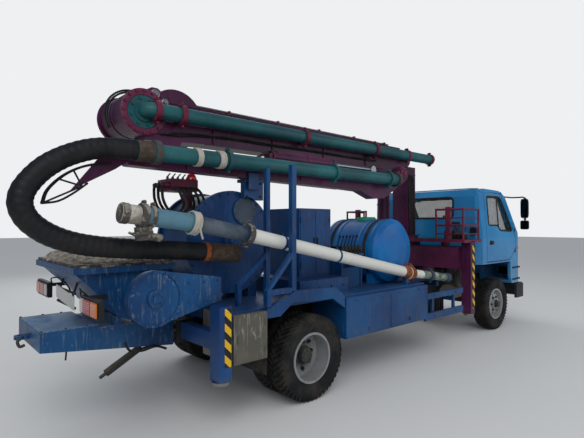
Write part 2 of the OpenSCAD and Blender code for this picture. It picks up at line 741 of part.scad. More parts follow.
mirror_x = 4930;
mirror_y = [1030, 1150];
module mirrors() {
    middle = (mirror_y[0] + mirror_y[1]) / 2;
    color("#1b1c1e") at_axle() both_sides() {
        span([mirror_x - 30, mirror_y[0], 1760], [mirror_x + 30, mirror_y[1], 2080]);
        span([mirror_x - 30, mirror_y[0] - 5, 1570], [mirror_x + 30, mirror_y[1] + 5, 1720]);
        bar_xz([mirror_x, 1719], [mirror_x, 1761], middle, 12);
        bar_y(mirror_x, 2110, 880, middle + 12, 12);
        bar_xz([mirror_x, 2079], [mirror_x, 2110], middle, 12);
        bar_xz([4516.5, 2110], [mirror_x, 2110], 880, 12);
    }
}

module door(s) {
    intersection() {
        difference() {
            cab_solid(0);
            cab_solid(cab_wall);
        }
        plate_y(door_outline(0), s * door_inner_y, s * 1100);
    }
}
module door_panel(s) {
    difference() {
        door(s);
        plate_y(window_outline, s * door_inner_y, s * 1100);
        // Above the sill only the wall belongs to the door
        span([door_x[0] - 1, -cab_half_w + cab_wall, 1000], [door_x[1] + 1, cab_half_w - cab_wall, 1400]);
    }
}
module door_pane(s) {
    intersection() {
        difference() {
            cab_solid(20);
            cab_solid(25);
        }
        plate_y(window_outline, s * door_inner_y, s * 1100);
    }
}
module door_left() { color("#3f8fd0") at_axle() door_panel(1); }
module door_right() { color("#3f8fd0") at_axle() door_panel(-1); }
module door_glass_left() { color([0.5, 0.65, 0.7, 0.4]) at_axle() door_pane(1); }
module door_glass_right() { color([0.5, 0.65, 0.7, 0.4]) at_axle() door_pane(-1); }

// Wheels

bead_r = 222;
lip_r = 236;
lip_y = 85;
module tyre(y) {
    w = tyre_w / 2;
    r = tyre_d / 2;
    inner = bead_r + seat_gap;
    translate([0, y, wheel_z]) rotate([-90, 0, 0]) rotate_extrude($fn = 96)
        polygon([[inner, -lip_y + 1], [lip_r + 1, -lip_y + 1], [lip_r + 14, -w + 14], [r * 0.78, -w],
            [r * 0.92, -w + 6], [r - 6, -w + 22], [r, -w + 46], [r, w - 46], [r - 6, w - 22], [r * 0.92, w - 6],
            [r * 0.78, w], [lip_r + 14, w - 14], [lip_r + 1, lip_y - 1], [inner, lip_y - 1]]);
}

// Rim well with its lips; disc_y is where its disc stands, reach how far it is dished to meet the well
module rim(y, disc_y, reach) {
    well = bead_r - 8;
    translate([0, y, wheel_z]) rotate([-90, 0, 0]) rotate_extrude($fn = 96)
        polygon([[well, -lip_y - 8], [lip_r, -lip_y - 8], [lip_r, -lip_y], [bead_r, -lip_y], [bead_r, lip_y],
            [lip_r, lip_y], [lip_r, lip_y + 8], [well, lip_y + 8]]);
    difference() {
        translate([0, disc_y, wheel_z]) rotate([-90, 0, 0]) rotate_extrude($fn = 96)
            polygon([[60, -5], [135, -5], [well + 1, reach - 6], [well + 1, reach + 6], [135, 5], [60, 5]]);
        for (a = [0 : 36 : 324])
            bar_y(162 * cos(a), wheel_z + 162 * sin(a), disc_y - 70, disc_y + 70, 24);
    }
}

module rear_rims() {
    inner_y = rear_tyre_y - twin_pitch;
    middle = rear_tyre_y - twin_pitch / 2;
    rim(rear_tyre_y, middle + 5.5, 42);
    rim(inner_y, middle - 5.5, -42);
    difference() {
        union() {
            bar_y(0, wheel_z, inner_y - 60, middle + 60, 100);
            bar_y(0, wheel_z, middle + 60, middle + 90, 82);
        }
        bar_y(0, wheel_z, inner_y - 61, rear_tyre_y - 62, hub_bore_r);
    }
}

module front_rim() {
    disc_y = front_tyre_y + 55;
    rim(front_tyre_y, disc_y, -35);
    difference() {
        bar_y(0, wheel_z, front_tyre_y - 55, disc_y + 35, 88);
        bar_y(0, wheel_z, front_tyre_y - 56, disc_y + 22, front_stub_r + pin_gap);
    }
}

module rear_tyres() {
    tyre(rear_tyre_y);
    tyre(rear_tyre_y - twin_pitch);
}
module front_at() { at_axle() translate([front_x, 0, 0]) children(); }
module front_tyre_left() { color("#202122") front_at() tyre(front_tyre_y); }
module front_tyre_right() { color("#202122") front_at() mirror([0, 1, 0]) tyre(front_tyre_y); }
module front_rim_left() { color("silver") front_at() front_rim(); }
module front_rim_right() { color("silver") front_at() mirror([0, 1, 0]) front_rim(); }
module rear_tyres_left() { color("#202122") at_axle() rear_tyres(); }
module rear_tyres_right() { color("#202122") at_axle() mirror([0, 1, 0]) rear_tyres(); }
module rear_rims_left() { color("silver") at_axle() rear_rims(); }
module rear_rims_right() { color("silver") at_axle() mirror([0, 1, 0]) rear_rims(); }

// Steering knuckle: yoke round the axle eye, with the stub that the hub turns on
module knuckle() {
    arm_gap = 5;
    translate([0, kingpin_y, eye_low - arm_gap - 35])
        cylinder(r = kingpin_r, h = eye_high - eye_low + 2 * arm_gap + 70, $fn = round_fn);
    for (z = [eye_low - arm_gap - 35, eye_high + arm_gap]) {
        translate([0, kingpin_y, z]) cylinder(r = 38, h = 35, $fn = round_fn);
        span([-38, kingpin_y, z], [38, kingpin_y + 70, z + 35]);
    }
    span([-38, kingpin_y + 50, eye_low - arm_gap - 35], [38, kingpin_y + 75, eye_high + arm_gap + 35]);
    bar_y(0, wheel_z, kingpin_y + 75, front_tyre_y + 72, front_stub_r);
}
module knuckle_left() { color("#3b3b3e") front_at() knuckle(); }
module knuckle_right() { color("#3b3b3e") front_at() mirror([0, 1, 0]) knuckle(); }

// Boom

beam_1_z = [2500, 2830];
beam_2_z = [2430, 2590];
foot_fork_r = 120;
gusset = [-850, 2700];
luff_top_z = 2330;
luff_rod_r = 45;
luff_eye_r = 25;

// Section 1 runs from the mast head to the rear elbow, on the left
peak_plate = [[-1450, 2760], [-1430, 2785], [-1110, 2965], [-1050, 2965], [-960, 2900], [-700, 2760]];
module boom_1() {
    color("#6a2560") at_axle() {
        difference() {
            union() {
                plate_y([[elbow_x, elbow_z - 150], [2950, beam_1_z[0]], [2950, beam_1_z[1]], [elbow_x, elbow_z + 200]],
                    lane_1[0], lane_1[1]);
                bar_y(elbow_x, elbow_z, lane_1[0], lane_1[1], elbow_r);
                bar_y(elbow_x, elbow_z, lane_1[1], lane_1[1] + 30, elbow_r + 25);
                bar_y(gusset[0], gusset[1], lane_1[0] + 20, lane_1[0] + 90, 295);
                plate_y(peak_plate, lane_1[0], lane_1[0] + 20);
                for (y = [lane_1[0], tongue_y[1] + 5]) {
                    bar_y(mast_x, foot_z, y, y + 45, foot_fork_r);
                    span([2949, y, foot_z - 118], [mast_x, y + 45, foot_z + 118]);
                }
                // Bracket for the luffing rod
                for (y = [luff_y - 80, luff_y + 50])
                    plate_y([[luff_x - 170, beam_1_z[0] + 5], [luff_x - 45, luff_top_z - 40], [luff_x + 45,
                        luff_top_z - 40], [luff_x + 120, beam_1_z[0] + 5]], y, y + 30);
            }
            bar_y(elbow_x, elbow_z, lane_1[0] - 1, lane_1[1] + 31, 60 + pin_gap);
            bar_y(luff_x, luff_top_z, luff_y - 90, luff_y + 90, luff_eye_r + pin_gap);
        }
        bar_y(mast_x, foot_z, lane_1[0] + 1, tongue_y[1] + 49, foot_pin_r);
    }
}

// Section 2 runs forward from the rear elbow to the front elbow
module boom_2() {
    color("#7a2c70") at_axle() {
        difference() {
            union() {
                plate_y([[elbow_x + 20, elbow_z - 240], [elbow_x + 600, beam_2_z[0]], [2200, beam_2_z[0]],
                    [2720, beam_2_z[0] + 90], [2720, beam_2_z[1]], [elbow_x + 20, beam_2_z[1]]], lane_2[0], lane_2[1]);
                bar_y(elbow_x, elbow_z, lane_2[0], lane_2[1], elbow_r);
                plate_y([[-1150, 2420], [-1120, 2362], [-960, 2362], [-930, 2440]], lane_2[0], lane_2[0] + 120);
                plate_y([[knee_x - 260, beam_2_z[0] + 5], [knee_x - 110, knee_z - 60], [knee_x + 110, knee_z - 60],
                    [knee_x + 330, beam_2_z[0] + 60]], lane_2[0], lane_2[0] + 60);
            }
        }
        bar_y(elbow_x, elbow_z, lane_2[1], lane_1[1] + 30, 60);
        bar_y(knee_x, knee_z, lane_3[0] + 1, lane_2[0], 50);
    }
}

// Concrete pipe on section 2, turned into the elbow swivel at its rear end
module pipe_2() {
    r = boom_pipe_d / 2;
    bend = lane_2[0] - pipe_2_y;
    clamps = [-980, 560, 1850, 2600];
    color("#1a6d70") at_axle() {
        pipe_xz([elbow_x + bend, pipe_2_z], [3240, pipe_2_z], pipe_2_y, r, 7);
        translate([elbow_x + bend, pipe_2_y + bend, pipe_2_z]) rotate([0, 0, 180])
            rotate_extrude(angle = 90, $fn = 64) translate([bend, 0]) circle(r = r, $fn = 32);
        for (x = clamps)
            difference() {
                bar_xz([x - 18, pipe_2_z], [x + 18, pipe_2_z], pipe_2_y, r + 9);
                bar_xz([x - 19, pipe_2_z], [x + 19, pipe_2_z], pipe_2_y, r - 1);
            }
        for (x = clamps)
            span([x - 12, pipe_2_y + r - 2, pipe_2_z - 20], [x + 12, lane_2[0] + 60, pipe_2_z + 20]);
        for (x = clamps)
            span([x - 12, lane_2[0] + 20, beam_2_z[1]], [x + 12, lane_2[0] + 60, pipe_2_z]);
    }
}

// Section 3 folds back under section 2, in its own lane on the right
tip_x = -1560;
root_x = 1000;
module boom_3() {
    color("#70245e") at_axle() {
        plate_y([[tip_x, 2125], [root_x, 2071], [root_x, 2282], [tip_x, 2275]], lane_3[0], lane_3[1]);
        // Folding cylinder on top of the section
        difference() {
            bar_xz([-60, fold_z], [880, fold_z], fold_y, fold_r);
            bar_xz([20, fold_z], [881, fold_z], fold_y, fold_rod_r + seat_gap);
        }
        span([-110, lane_3[0] + 20, 2270], [-40, lane_3[1] - 20, fold_z + 30]);
        span([800, lane_3[0] + 20, 2270], [860, lane_3[1] - 20, fold_z - fold_rod_r - 12]);
    }
}

// Root of section 3: the deeper end that carries the front elbow
module boom_3_root() {
    root_r = 100;
    color("#70245e") at_axle() difference() {
        union() {
            plate_y([[root_x, 2071], [1300, 2060], [1560, 1975], [1760, 1990], [knee_x + 60, knee_z - 90],
                [knee_x + 40, knee_z + 90], [1900, 2285], [root_x, 2282]], lane_3[0], lane_3[1]);
            bar_y(knee_x, knee_z, lane_3[0], lane_3[1], root_r);
        }
        bar_y(knee_x, knee_z, lane_3[0] - 1, lane_3[1] + 1, 50 + pin_gap);
    }
}

// Plate that keeps the end hose from kinking
module hose_guide() {
    color("#70245e") at_axle()
        plate_y([[tip_x, 2245], [tip_x, 2150], [-1660, 2080], [-1980, 1900], [-1780, 2160], [-1600, 2270]],
            lane_3[0] + 4, lane_3[0] + 16);
}

fold_y = (lane_3[0] + lane_3[1]) / 2;
fold_z = 2345;
fold_r = 55;
fold_rod_r = 28;
module fold_rod() {
    color("silver") at_axle() {
        bar_xz([700, fold_z], [1560, fold_z], fold_y, fold_rod_r);
        bar_y(1590, fold_z, lane_3[0] + 30, lane_3[1] - 30, 50);
    }
}

module pipe_3() {
    r = boom_pipe_d / 2;
    clamps = [-700, 700, 1700];
    color("#1a6d70") at_axle() {
        pipe_xz([-1430, pipe_3_z], [1880, pipe_3_z], pipe_3_y, r, 7);
        pipe_xz([-1545, pipe_3_z], [-1400, pipe_3_z], pipe_3_y, r + 11, 11);
        for (x = clamps) {
            difference() {
                bar_xz([x - 18, pipe_3_z], [x + 18, pipe_3_z], pipe_3_y, r + 11);
                bar_xz([x - 19, pipe_3_z], [x + 19, pipe_3_z], pipe_3_y, r - 1);
            }
            span([x - 12, pipe_3_y + r - 2, pipe_3_z - 20], [x + 12, lane_3[0], pipe_3_z + 20]);
        }
    }
}

// End hose: one tube swept along its route
module end_hose() {
    count = len(hose_route);
    side = function(i) (i < count - 1 ? hose_route[i + 1] : hose_route[i]) - (i > 0 ? hose_route[i - 1] : hose_route[i]);
    ring_points = [for (i = [0 : count - 1]) let (d = side(i), n = d / norm(d)) for (k = [0 : hose_sides - 1])
        let (a = 360 * k / hose_sides, u = cos(a) * hose_d / 2, v = sin(a) * hose_d / 2)
        [hose_route[i][0] - n[1] * u, pipe_3_y + v, hose_route[i][1] + n[0] * u]];
    skin = [for (i = [0 : count - 2]) for (k = [0 : hose_sides - 1]) let (m = (k + 1) % hose_sides)
        [i * hose_sides + k, i * hose_sides + m, (i + 1) * hose_sides + m, (i + 1) * hose_sides + k]];
    start_cap = [[for (k = [hose_sides - 1 : -1 : 0]) k]];
    end_cap = [[for (k = [0 : hose_sides - 1]) (count - 1) * hose_sides + k]];
    color("#262422") at_axle() polyhedron(ring_points, concat(skin, start_cap, end_cap));
}

module luff_cylinder() {
    color("#5e1f4d") at_axle() difference() {
        union() {
            bar_y(luff_x, luff_base_z, luff_y - 44.7, luff_y + 44.7, 55);
            translate([luff_x, luff_y, luff_base_z]) cylinder(r = 38, h = 160, $fn = round_fn);
            translate([luff_x, luff_y, luff_base_z + 130]) cylinder(r = 90, h = 540, $fn = round_fn);
        }
        bar_y(luff_x, luff_base_z, luff_y - 46, luff_y + 46, 25 + pin_gap);
        translate([luff_x, luff_y, luff_base_z + 160]) cylinder(r = luff_rod_r + seat_gap, h = 540, $fn = round_fn);
    }
}

module luff_rod() {
    start_z = luff_base_z + 165;
    color("silver") at_axle() difference() {
        union() {
            translate([luff_x, luff_y, start_z]) cylinder(r = luff_rod_r, h = luff_top_z - start_z, $fn = round_fn);
            bar_y(luff_x, luff_top_z, luff_y - 44, luff_y + 44, 45);
        }
        bar_y(luff_x, luff_top_z, luff_y - 60, luff_y + 60, luff_eye_r);
    }
}

frame();
axles();
engine();
deck();
rear_step();
hopper();
lamps();
pump_drum();
rack();
valve_block();
beacon();
delivery_pipe();
control_cabinet();
water_barrel();
outrigger_housings();
mast();
platform();
bumper();
side_tanks();
cab_shell();
cab_glass();
cab_interior();
mirrors();
door_left();
door_right();
door_glass_left();
door_glass_right();
knuckle_left();
knuckle_right();
front_tyre_left();
front_rim_left();
front_tyre_right();
front_rim_right();
rear_tyres_left();
rear_rims_left();
rear_tyres_right();
rear_rims_right();
boom_1();
boom_2();
pipe_2();
boom_3();
boom_3_root();
hose_guide();
pipe_3();
end_hose();
luff_cylinder();
luff_rod();
fold_rod();
beam_left();
beam_right();
jack_front_left();
jack_front_right();
jack_rear_left();
jack_rear_right();
hopper_grate();
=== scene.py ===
"""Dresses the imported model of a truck-mounted concrete pump: finishes, fittings, camera and light."""

import random
from math import cos, hypot, pi, radians, sin

import bmesh
import bpy
from mathutils import Matrix, Vector, noise


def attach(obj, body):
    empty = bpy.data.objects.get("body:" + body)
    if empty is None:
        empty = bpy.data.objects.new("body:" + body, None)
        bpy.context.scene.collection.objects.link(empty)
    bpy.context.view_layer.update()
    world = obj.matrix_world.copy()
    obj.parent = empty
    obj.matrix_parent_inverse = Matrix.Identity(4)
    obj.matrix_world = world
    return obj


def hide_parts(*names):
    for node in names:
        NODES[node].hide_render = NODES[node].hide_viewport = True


bl_info = {
    "name": "Concrete pump truck dressing",
    "version": (1, 0, 0),
    "blender": (4, 5, 0),
    "location": "3D View > Sidebar > Pump",
    "description": "Finishes and small fittings for a truck-mounted concrete pump",
    "category": "Object",
}

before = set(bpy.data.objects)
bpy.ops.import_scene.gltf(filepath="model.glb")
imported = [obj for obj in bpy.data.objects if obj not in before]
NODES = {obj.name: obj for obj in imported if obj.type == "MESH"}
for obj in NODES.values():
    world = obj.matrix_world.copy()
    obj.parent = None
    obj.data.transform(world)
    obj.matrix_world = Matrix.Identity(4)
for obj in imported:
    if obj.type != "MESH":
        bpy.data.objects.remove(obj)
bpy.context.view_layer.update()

# Places along X are counted from the rear axle, as in the part's source
REAR_AXLE = -1.437
FRONT_AXLE = 4.175
WHEEL_Z = 0.402
TYRE_R = 0.402
TYRE_HALF_W = 0.113
FRONT_TYRE_Y = 0.842
REAR_TYRE_Y = 0.967
TWIN_PITCH = 0.255
PIPE_3_Y = -0.683
PIPE_3_Z = 2.225
# Outer face of skirts, boxes and legs
SIDE_Y = 1.080

AHEAD = Vector((1, 0, 0))
LEFT = Vector((0, 1, 0))
UP = Vector((0, 0, 1))
BACK = -AHEAD
RIGHT = -LEFT
SIDES = (("left", 1), ("right", -1))
# The two axes of a plane seen from the side, from behind and from above
SIDE_ON = (AHEAD, UP)
END_ON = (LEFT, UP)
FROM_ABOVE = (AHEAD, LEFT)


def span(first, second):
    """The low and the high corner of the box between two points."""
    pairs = [sorted(pair) for pair in zip(first, second)]
    return Vector(low for low, high in pairs), Vector(high for low, high in pairs)


def rgb(code):
    """Scene-linear colour of an sRGB hex code; a colour setting is linear as it stands."""
    if not isinstance(code, str):
        return tuple(code) + (1.0,)
    parts = [int(code[i:i + 2], 16) / 255 for i in (1, 3, 5)]
    return tuple(c / 12.92 if c <= 0.04045 else ((c + 0.055) / 1.055) ** 2.4 for c in parts) + (1.0,)


# Colours that several finishes share
DUST = "#8f8778"
CEMENT = "#6f6a60"


# Shader maths


def add_node(tree, kind, settings=None, values=None):
    """Node of a type: its settings are set first, then the numbers, colours or links of its sockets."""
    made = tree.nodes.new(kind)
    for key, item in (settings or {}).items():
        setattr(made, key, item)
    for key, item in (values or {}).items():
        source = item.socket if isinstance(item, Value) else item
        if isinstance(source, bpy.types.NodeSocket):
            tree.links.new(source, made.inputs[key])
        else:
            made.inputs[key].default_value = source
    return made


class Value:
    """One shader value; an expression on it adds the Math nodes that work it out."""

    def __init__(self, tree, socket):
        self.tree = tree
        self.socket = socket

    def _math(self, operation, first, second=None):
        values = {0: first} if second is None else {0: first, 1: second}
        made = add_node(self.tree, "ShaderNodeMath", {"operation": operation}, values)
        return Value(self.tree, made.outputs[0])

    def __add__(self, other):
        return self._math("ADD", self, other)

    def __radd__(self, other):
        return self._math("ADD", other, self)

    def __sub__(self, other):
        return self._math("SUBTRACT", self, other)

    def __rsub__(self, other):
        return self._math("SUBTRACT", other, self)

    def __mul__(self, other):
        return self._math("MULTIPLY", self, other)

    def __rmul__(self, other):
        return self._math("MULTIPLY", other, self)

    def __truediv__(self, other):
        return self._math("DIVIDE", self, other)

    def __rtruediv__(self, other):
        return self._math("DIVIDE", other, self)

    def __gt__(self, other):
        return self._math("GREATER_THAN", self, other)

    def __mod__(self, other):
        return self._math("FLOORED_MODULO", self, other)

    def most(self, other):
        return self._math("MAXIMUM", self, other)

    def least(self, other):
        return self._math("MINIMUM", self, other)

    def size(self):
        return self._math("ABSOLUTE", self)

    def step(self, low, high):
        """Smooth rise from 0 at low to 1 at high."""
        made = add_node(self.tree, "ShaderNodeMapRange", {"interpolation_type": "SMOOTHSTEP"},
                        {"Value": self, "From Min": low, "From Max": high})
        return Value(self.tree, made.outputs["Result"])


class Finish:
    """A material under construction, with its Principled shader."""

    def __init__(self, name, roughness=0.5, metallic=0.0):
        self.material = bpy.data.materials.new(name)
        self.material.use_nodes = True
        self.tree = self.material.node_tree
        self.tree.nodes.clear()
        self.shader = add_node(self.tree, "ShaderNodeBsdfPrincipled", None, {
            "Roughness": roughness, "Metallic": metallic, "Specular IOR Level": 0.32})
        add_node(self.tree, "ShaderNodeOutputMaterial", None, {"Surface": self.shader.outputs["BSDF"]})
        place = add_node(self.tree, "ShaderNodeTexCoord")
        self.place = Value(self.tree, place.outputs["Object"])
        self.facing = self.split(Value(self.tree, place.outputs["Normal"]))
        self.x, self.y, self.z = self.split(self.place)

    def node(self, kind, settings=None, values=None, output=0):
        """One output of a new node, to go on working with."""
        return Value(self.tree, add_node(self.tree, kind, settings, values).outputs[output])

    def split(self, vector):
        made = add_node(self.tree, "ShaderNodeSeparateXYZ", None, {0: vector})
        return [Value(self.tree, output) for output in made.outputs]

    def join(self, x, y, z):
        return self.node("ShaderNodeCombineXYZ", values={0: x, 1: y, 2: z})

    def stretched(self, x, y, z):
        """The place, scaled by a factor along each axis."""
        return self.node("ShaderNodeVectorMath", {"operation": "MULTIPLY"}, {0: self.place, 1: (x, y, z)})

    def noise(self, scale, detail=4.0, rough=0.55, place=None, warp=0.0):
        return self.node("ShaderNodeTexNoise", values={"Vector": place or self.place, "Scale": scale,
                         "Detail": detail, "Roughness": rough, "Distortion": warp})

    def mix(self, amount, first, second):
        return self.node("ShaderNodeMix", {"data_type": "RGBA"}, {0: amount, 6: first, 7: second}, output=2)

    def colour(self, item):
        self._feed("Base Color", item)

    def rough(self, item):
        self._feed("Roughness", item)

    def metal(self, item):
        self._feed("Metallic", item)

    def _feed(self, name, item):
        self.tree.links.new(item.socket, self.shader.inputs[name])

    def bump(self, height, strength=0.3, distance=0.002):
        made = self.node("ShaderNodeBump", values={"Strength": strength, "Distance": distance,
                                                   "Height": height})
        self.tree.links.new(made.socket, self.shader.inputs["Normal"])


def paint():
    """Settings that hold the colours of the main paints."""
    return bpy.context.scene.pump_paint


def painted(name, colour, faded, under="#6f5a45", wear=0.5, dust=0.35, rough=0.42, scale=1.0):
    """Old outdoor paint: faded patches, chips down to the metal, runs of dirt and dust on what faces up."""
    f = Finish(name)
    broad = f.noise(1.7 * scale, 5.0)
    fine = f.noise(38 * scale, 6.0, 0.7)
    runs = f.noise(6.0, 5.0, 0.6, f.stretched(3.2, 3.2, 0.35))
    chips = f.noise(22 * scale, 9.0, 0.72, f.stretched(1, 1, 0.5), 0.6)
    base = f.mix(broad.step(0.36, 0.68), rgb(colour), rgb(faded))
    base = f.mix(runs.step(0.56, 0.74) * 0.38, base, rgb("#3a352e"))
    scratch = f.noise(24 * scale, 8.0, 0.75, f.stretched(2.0, 2.0, 0.22)).step(0.53, 0.64)
    base = f.mix(scratch * (0.5 * wear), base, rgb(under))
    chip = chips.step(0.735 - 0.12 * wear, 0.755 - 0.12 * wear)
    base = f.mix(chip * 0.85, base, rgb(under))
    up = f.facing[2].step(0.35, 0.95)
    low = 1.0 - f.z.step(0.15, 0.95)
    film = (up * 0.8 + low * 0.5) * f.noise(5.0, 6.0).step(0.3, 0.72) * dust
    base = f.mix(film.least(0.8), base, rgb("#857c6c"))
    f.colour(base)
    f.rough((fine * 0.16 + film * 0.4 + chip * 0.25 + (rough - 0.08)).least(0.95))
    f.bump(fine * 0.4 + chip * -0.8 + broad * 0.5, 0.22, 0.0015)
    return f.material


def bare_steel(name, colour, rust=0.0, rough=0.25):
    """Bare metal with rust in patches."""
    f = Finish(name, metallic=1.0)
    grain = f.noise(60, 6.0, 0.7)
    patch = f.noise(9, 8.0, 0.7).step(0.62 - 0.2 * rust, 0.78 - 0.2 * rust)
    f.colour(f.mix(patch, rgb(colour), rgb("#6b4a31")))
    f.metal(1.0 - patch * 0.85)
    f.rough(grain * 0.2 + patch * 0.4 + (rough - 0.1))
    f.bump(grain + patch * 0.6, 0.18, 0.001)
    return f.material


def rusty(name, colour, dark):
    """Rough metal mottled in two browns."""
    f = Finish(name, roughness=0.85)
    patch = f.noise(22, 8.0, 0.72)
    f.colour(f.mix(patch.step(0.35, 0.68), rgb(dark), rgb(colour)))
    f.bump(patch + f.noise(90, 4.0) * 0.4, 0.5, 0.002)
    return f.material


def plastic(name, colour, rough=0.5, dust=0.3):
    """Moulded plastic with dust on what faces up."""
    f = Finish(name)
    grain = f.noise(220, 3.0)
    film = f.noise(7, 6.0).step(0.35, 0.75) * f.facing[2].step(-0.3, 0.9) * dust
    f.colour(f.mix(film, rgb(colour), rgb(DUST)))
    f.rough(grain * 0.1 + film * 0.3 + (rough - 0.05))
    f.bump(grain, 0.1, 0.0006)
    return f.material


def rubber(name, colour, dust=0.5, rough=0.82):
    """Plain rubber or cloth with dust in its grain."""
    f = Finish(name)
    grain = f.noise(90, 6.0, 0.7)
    film = f.noise(6, 7.0, 0.65).step(0.38, 0.7) * dust
    f.colour(f.mix(film, rgb(colour), rgb("#6d655a")))
    f.rough(grain * 0.14 + (rough - 0.05))
    f.bump(grain, 0.25, 0.001)
    return f.material


def lens(name, colour):
    """Ribbed lamp glass, with painted shade in the grooves between ribs."""
    f = Finish(name, roughness=0.12)
    ribs = ((f.y * 260) % 1.0 - 0.5).size()
    # Darker copy of the lens colour toward the grooves between ribs: painted shade in the grooves
    f.colour(f.mix(ribs * 0.5, rgb(colour), tuple(c * 0.35 for c in rgb(colour)[:3]) + (1.0,)))
    f.shader.inputs["Coat Weight"].default_value = 0.7
    f.bump(ribs, 0.3, 0.001)
    return f.material


def clear_glass(name):
    """Window glass with a thin film of dust."""
    f = Finish(name)
    f.shader.inputs["Alpha"].default_value = 0.32
    smear = f.noise(3.5, 5.0).step(0.45, 0.8)
    f.colour(f.mix(smear * 0.25, rgb("#33413f"), rgb("#b9c9c6")))
    f.rough(smear * 0.18 + 0.03)
    f.shader.inputs["Coat Weight"].default_value = 1.0
    return f.material


def striped(name):
    """Yellow and black warning stripes that slant across a plate."""
    f = Finish(name)
    stripe_width = 0.062
    band = (((f.z + f.x) / stripe_width) % 2.0) > 1.0
    worn = f.noise(30, 8.0, 0.7).step(0.6, 0.68)
    base = f.mix(band, rgb("#e0b21c"), rgb("#1d1d1c"))
    f.colour(f.mix(worn * 0.6, base, rgb("#4a4438")))
    f.bump(worn, 0.2, 0.001)
    return f.material


def concrete(name):
    """Set concrete, lumpy and dry."""
    f = Finish(name, roughness=0.95)
    lumps = f.noise(26, 9.0, 0.7)
    f.colour(f.mix(lumps.step(0.35, 0.7), rgb(CEMENT), rgb("#b3ac9f")))
    f.bump(lumps + f.noise(120, 5.0) * 0.5, 0.8, 0.006)
    return f.material


def caked(name, colour):
    """Metal under splashes of set concrete."""
    f = Finish(name)
    lumps = f.noise(15, 9.0, 0.7)
    cake = (lumps + f.facing[2].step(-0.4, 1.0) * 0.14).step(0.53, 0.6)
    grain = f.noise(90, 6.0, 0.7)
    f.colour(f.mix(cake, f.mix(grain.step(0.4, 0.7), rgb(colour), rgb("#5c4632")),
                   f.mix(grain, rgb(CEMENT), rgb("#a39c8f"))))
    f.rough(cake * 0.25 + 0.6)
    f.bump(cake * lumps + grain * 0.2, 0.8, 0.006)
    return f.material


def chequer(name):
    """Blue plate with raised crossed lozenges, worn bare on their tops; its blue is lighter than the step's
    paint, a painted highlight of sun on the plate.
    """
    f = Finish(name)
    pitch = 0.046
    row = ((f.x + f.y) / pitch) % 1.0 - 0.5
    column = ((f.x - f.y) / pitch) % 1.0 - 0.5
    turn = ((f.x + f.y) / pitch - row + (f.x - f.y) / pitch - column) % 2.0 > 1.0
    along = (row.size() * 3.4).most(column.size() * 1.3)
    across = (row.size() * 1.3).most(column.size() * 3.4)
    near = turn * along + (1.0 - turn) * across
    lozenge = 1.0 - near.step(0.42, 0.6)
    worn = f.noise(7.0, 8.0, 0.7).step(0.4, 0.6)
    # The plate blue is lightened well past the step paint: painted highlight of sun on the step's top
    base = f.mix(worn * 0.55, rgb("#2365a0"), rgb("#8fa0aa"))
    base = f.mix(lozenge * (worn * 0.5 + 0.35), base, rgb("#b9c0c0"))
    f.colour(f.mix(f.noise(4.0, 6.0).step(0.5, 0.75) * 0.4, base, rgb(DUST)))
    f.metal(lozenge * worn * 0.5)
    f.rough(worn * 0.2 + 0.4)
    f.bump(lozenge, 0.8, 0.002)
    return f.material


def cab_paint(name):
    """Cab blue, with a painted highlight that lightens the up-facing roof cap in patches, and dust thrown up
    along the sills.
    """
    f = Finish(name)
    broad = f.noise(1.2, 4.0)
    fine = f.noise(60, 6.0, 0.7)
    base = f.mix(broad.step(0.35, 0.7), rgb(paint().cab), rgb(paint().cab_faded))
    # Up-facing roof lightened in patches toward pale blue-grey: painted highlight of sun on the roof
    roof_highlight = f.facing[2].step(0.55, 0.9) * f.noise(5.0, 8.0, 0.7).step(0.3, 0.6)
    base = f.mix(roof_highlight * 0.6, base, rgb("#a9bcc2"))
    low = (1.0 - f.z.step(0.75, 1.25)) * f.noise(9.0, 6.0).step(0.3, 0.7)
    base = f.mix(low * 0.4, base, rgb("#77736a"))
    f.colour(base)
    f.rough(fine * 0.1 + low * 0.4 + roof_highlight * 0.3 + 0.2)
    f.shader.inputs["Coat Weight"].default_value = 0.5
    f.shader.inputs["Coat Roughness"].default_value = 0.15
    f.bump(fine, 0.05, 0.0005)
    return f.material


def outrigger_paint(name):
    """Plum at the mast end, blue on the legs behind the rear axle."""
    f = Finish(name)
    broad = f.noise(2.2, 5.0)
    fine = f.noise(40, 6.0, 0.7)
    chips = f.noise(18, 9.0, 0.72, warp=0.5).step(0.66, 0.69)
    front = f.x > (-0.3)
    plum = f.mix(broad.step(0.36, 0.66), rgb("#45132f"), rgb("#5f2346"))
    blue = f.mix(broad.step(0.36, 0.66), rgb("#08366a"), rgb("#155088"))
    base = f.mix(chips * 0.8, f.mix(front, blue, plum), rgb("#77614f"))
    low = (1.0 - f.z.step(0.2, 0.9)) * f.noise(7.0, 6.0).step(0.35, 0.7)
    f.colour(f.mix(low * 0.32, base, rgb("#7a7264")))
    f.rough(fine * 0.2 + low * 0.3 + 0.36)
    f.bump(fine * 0.5 - chips, 0.2, 0.0015)
    return f.material


def delivery_paint(name):
    """The delivery pipe's stretches: capped end, light blue elbow, dark blue-grey, then white with rust."""
    f = Finish(name)
    along = f.x - REAR_AXLE
    patch = f.noise(11, 8.0, 0.7)
    broad = f.noise(3, 5.0)
    grey = f.mix(patch.step(0.35, 0.65), rgb("#7d766a"), rgb("#bdb9ae"))
    sky = f.mix(patch.step(0.5, 0.75), rgb("#567f90"), rgb("#56554a"))
    slate = f.mix(broad.step(0.4, 0.6), rgb("#2c3c4d"), rgb("#56606a"))
    white = f.mix(patch.step(0.6, 0.72) * 0.7, rgb("#d9d9d2"), rgb("#a2713f"))
    green = f.mix(patch.step(0.42, 0.62), rgb("#4a5c50"), rgb("#9aa59a"))
    base = f.mix(along > (-1.62), grey, sky)
    base = f.mix(along > (-1.16), base, slate)
    base = f.mix(along > (-0.64), base, white)
    base = f.mix(along > (2.05), base, green)
    f.colour(base)
    f.rough(patch * 0.3 + 0.35)
    f.bump(patch, 0.2, 0.001)
    return f.material


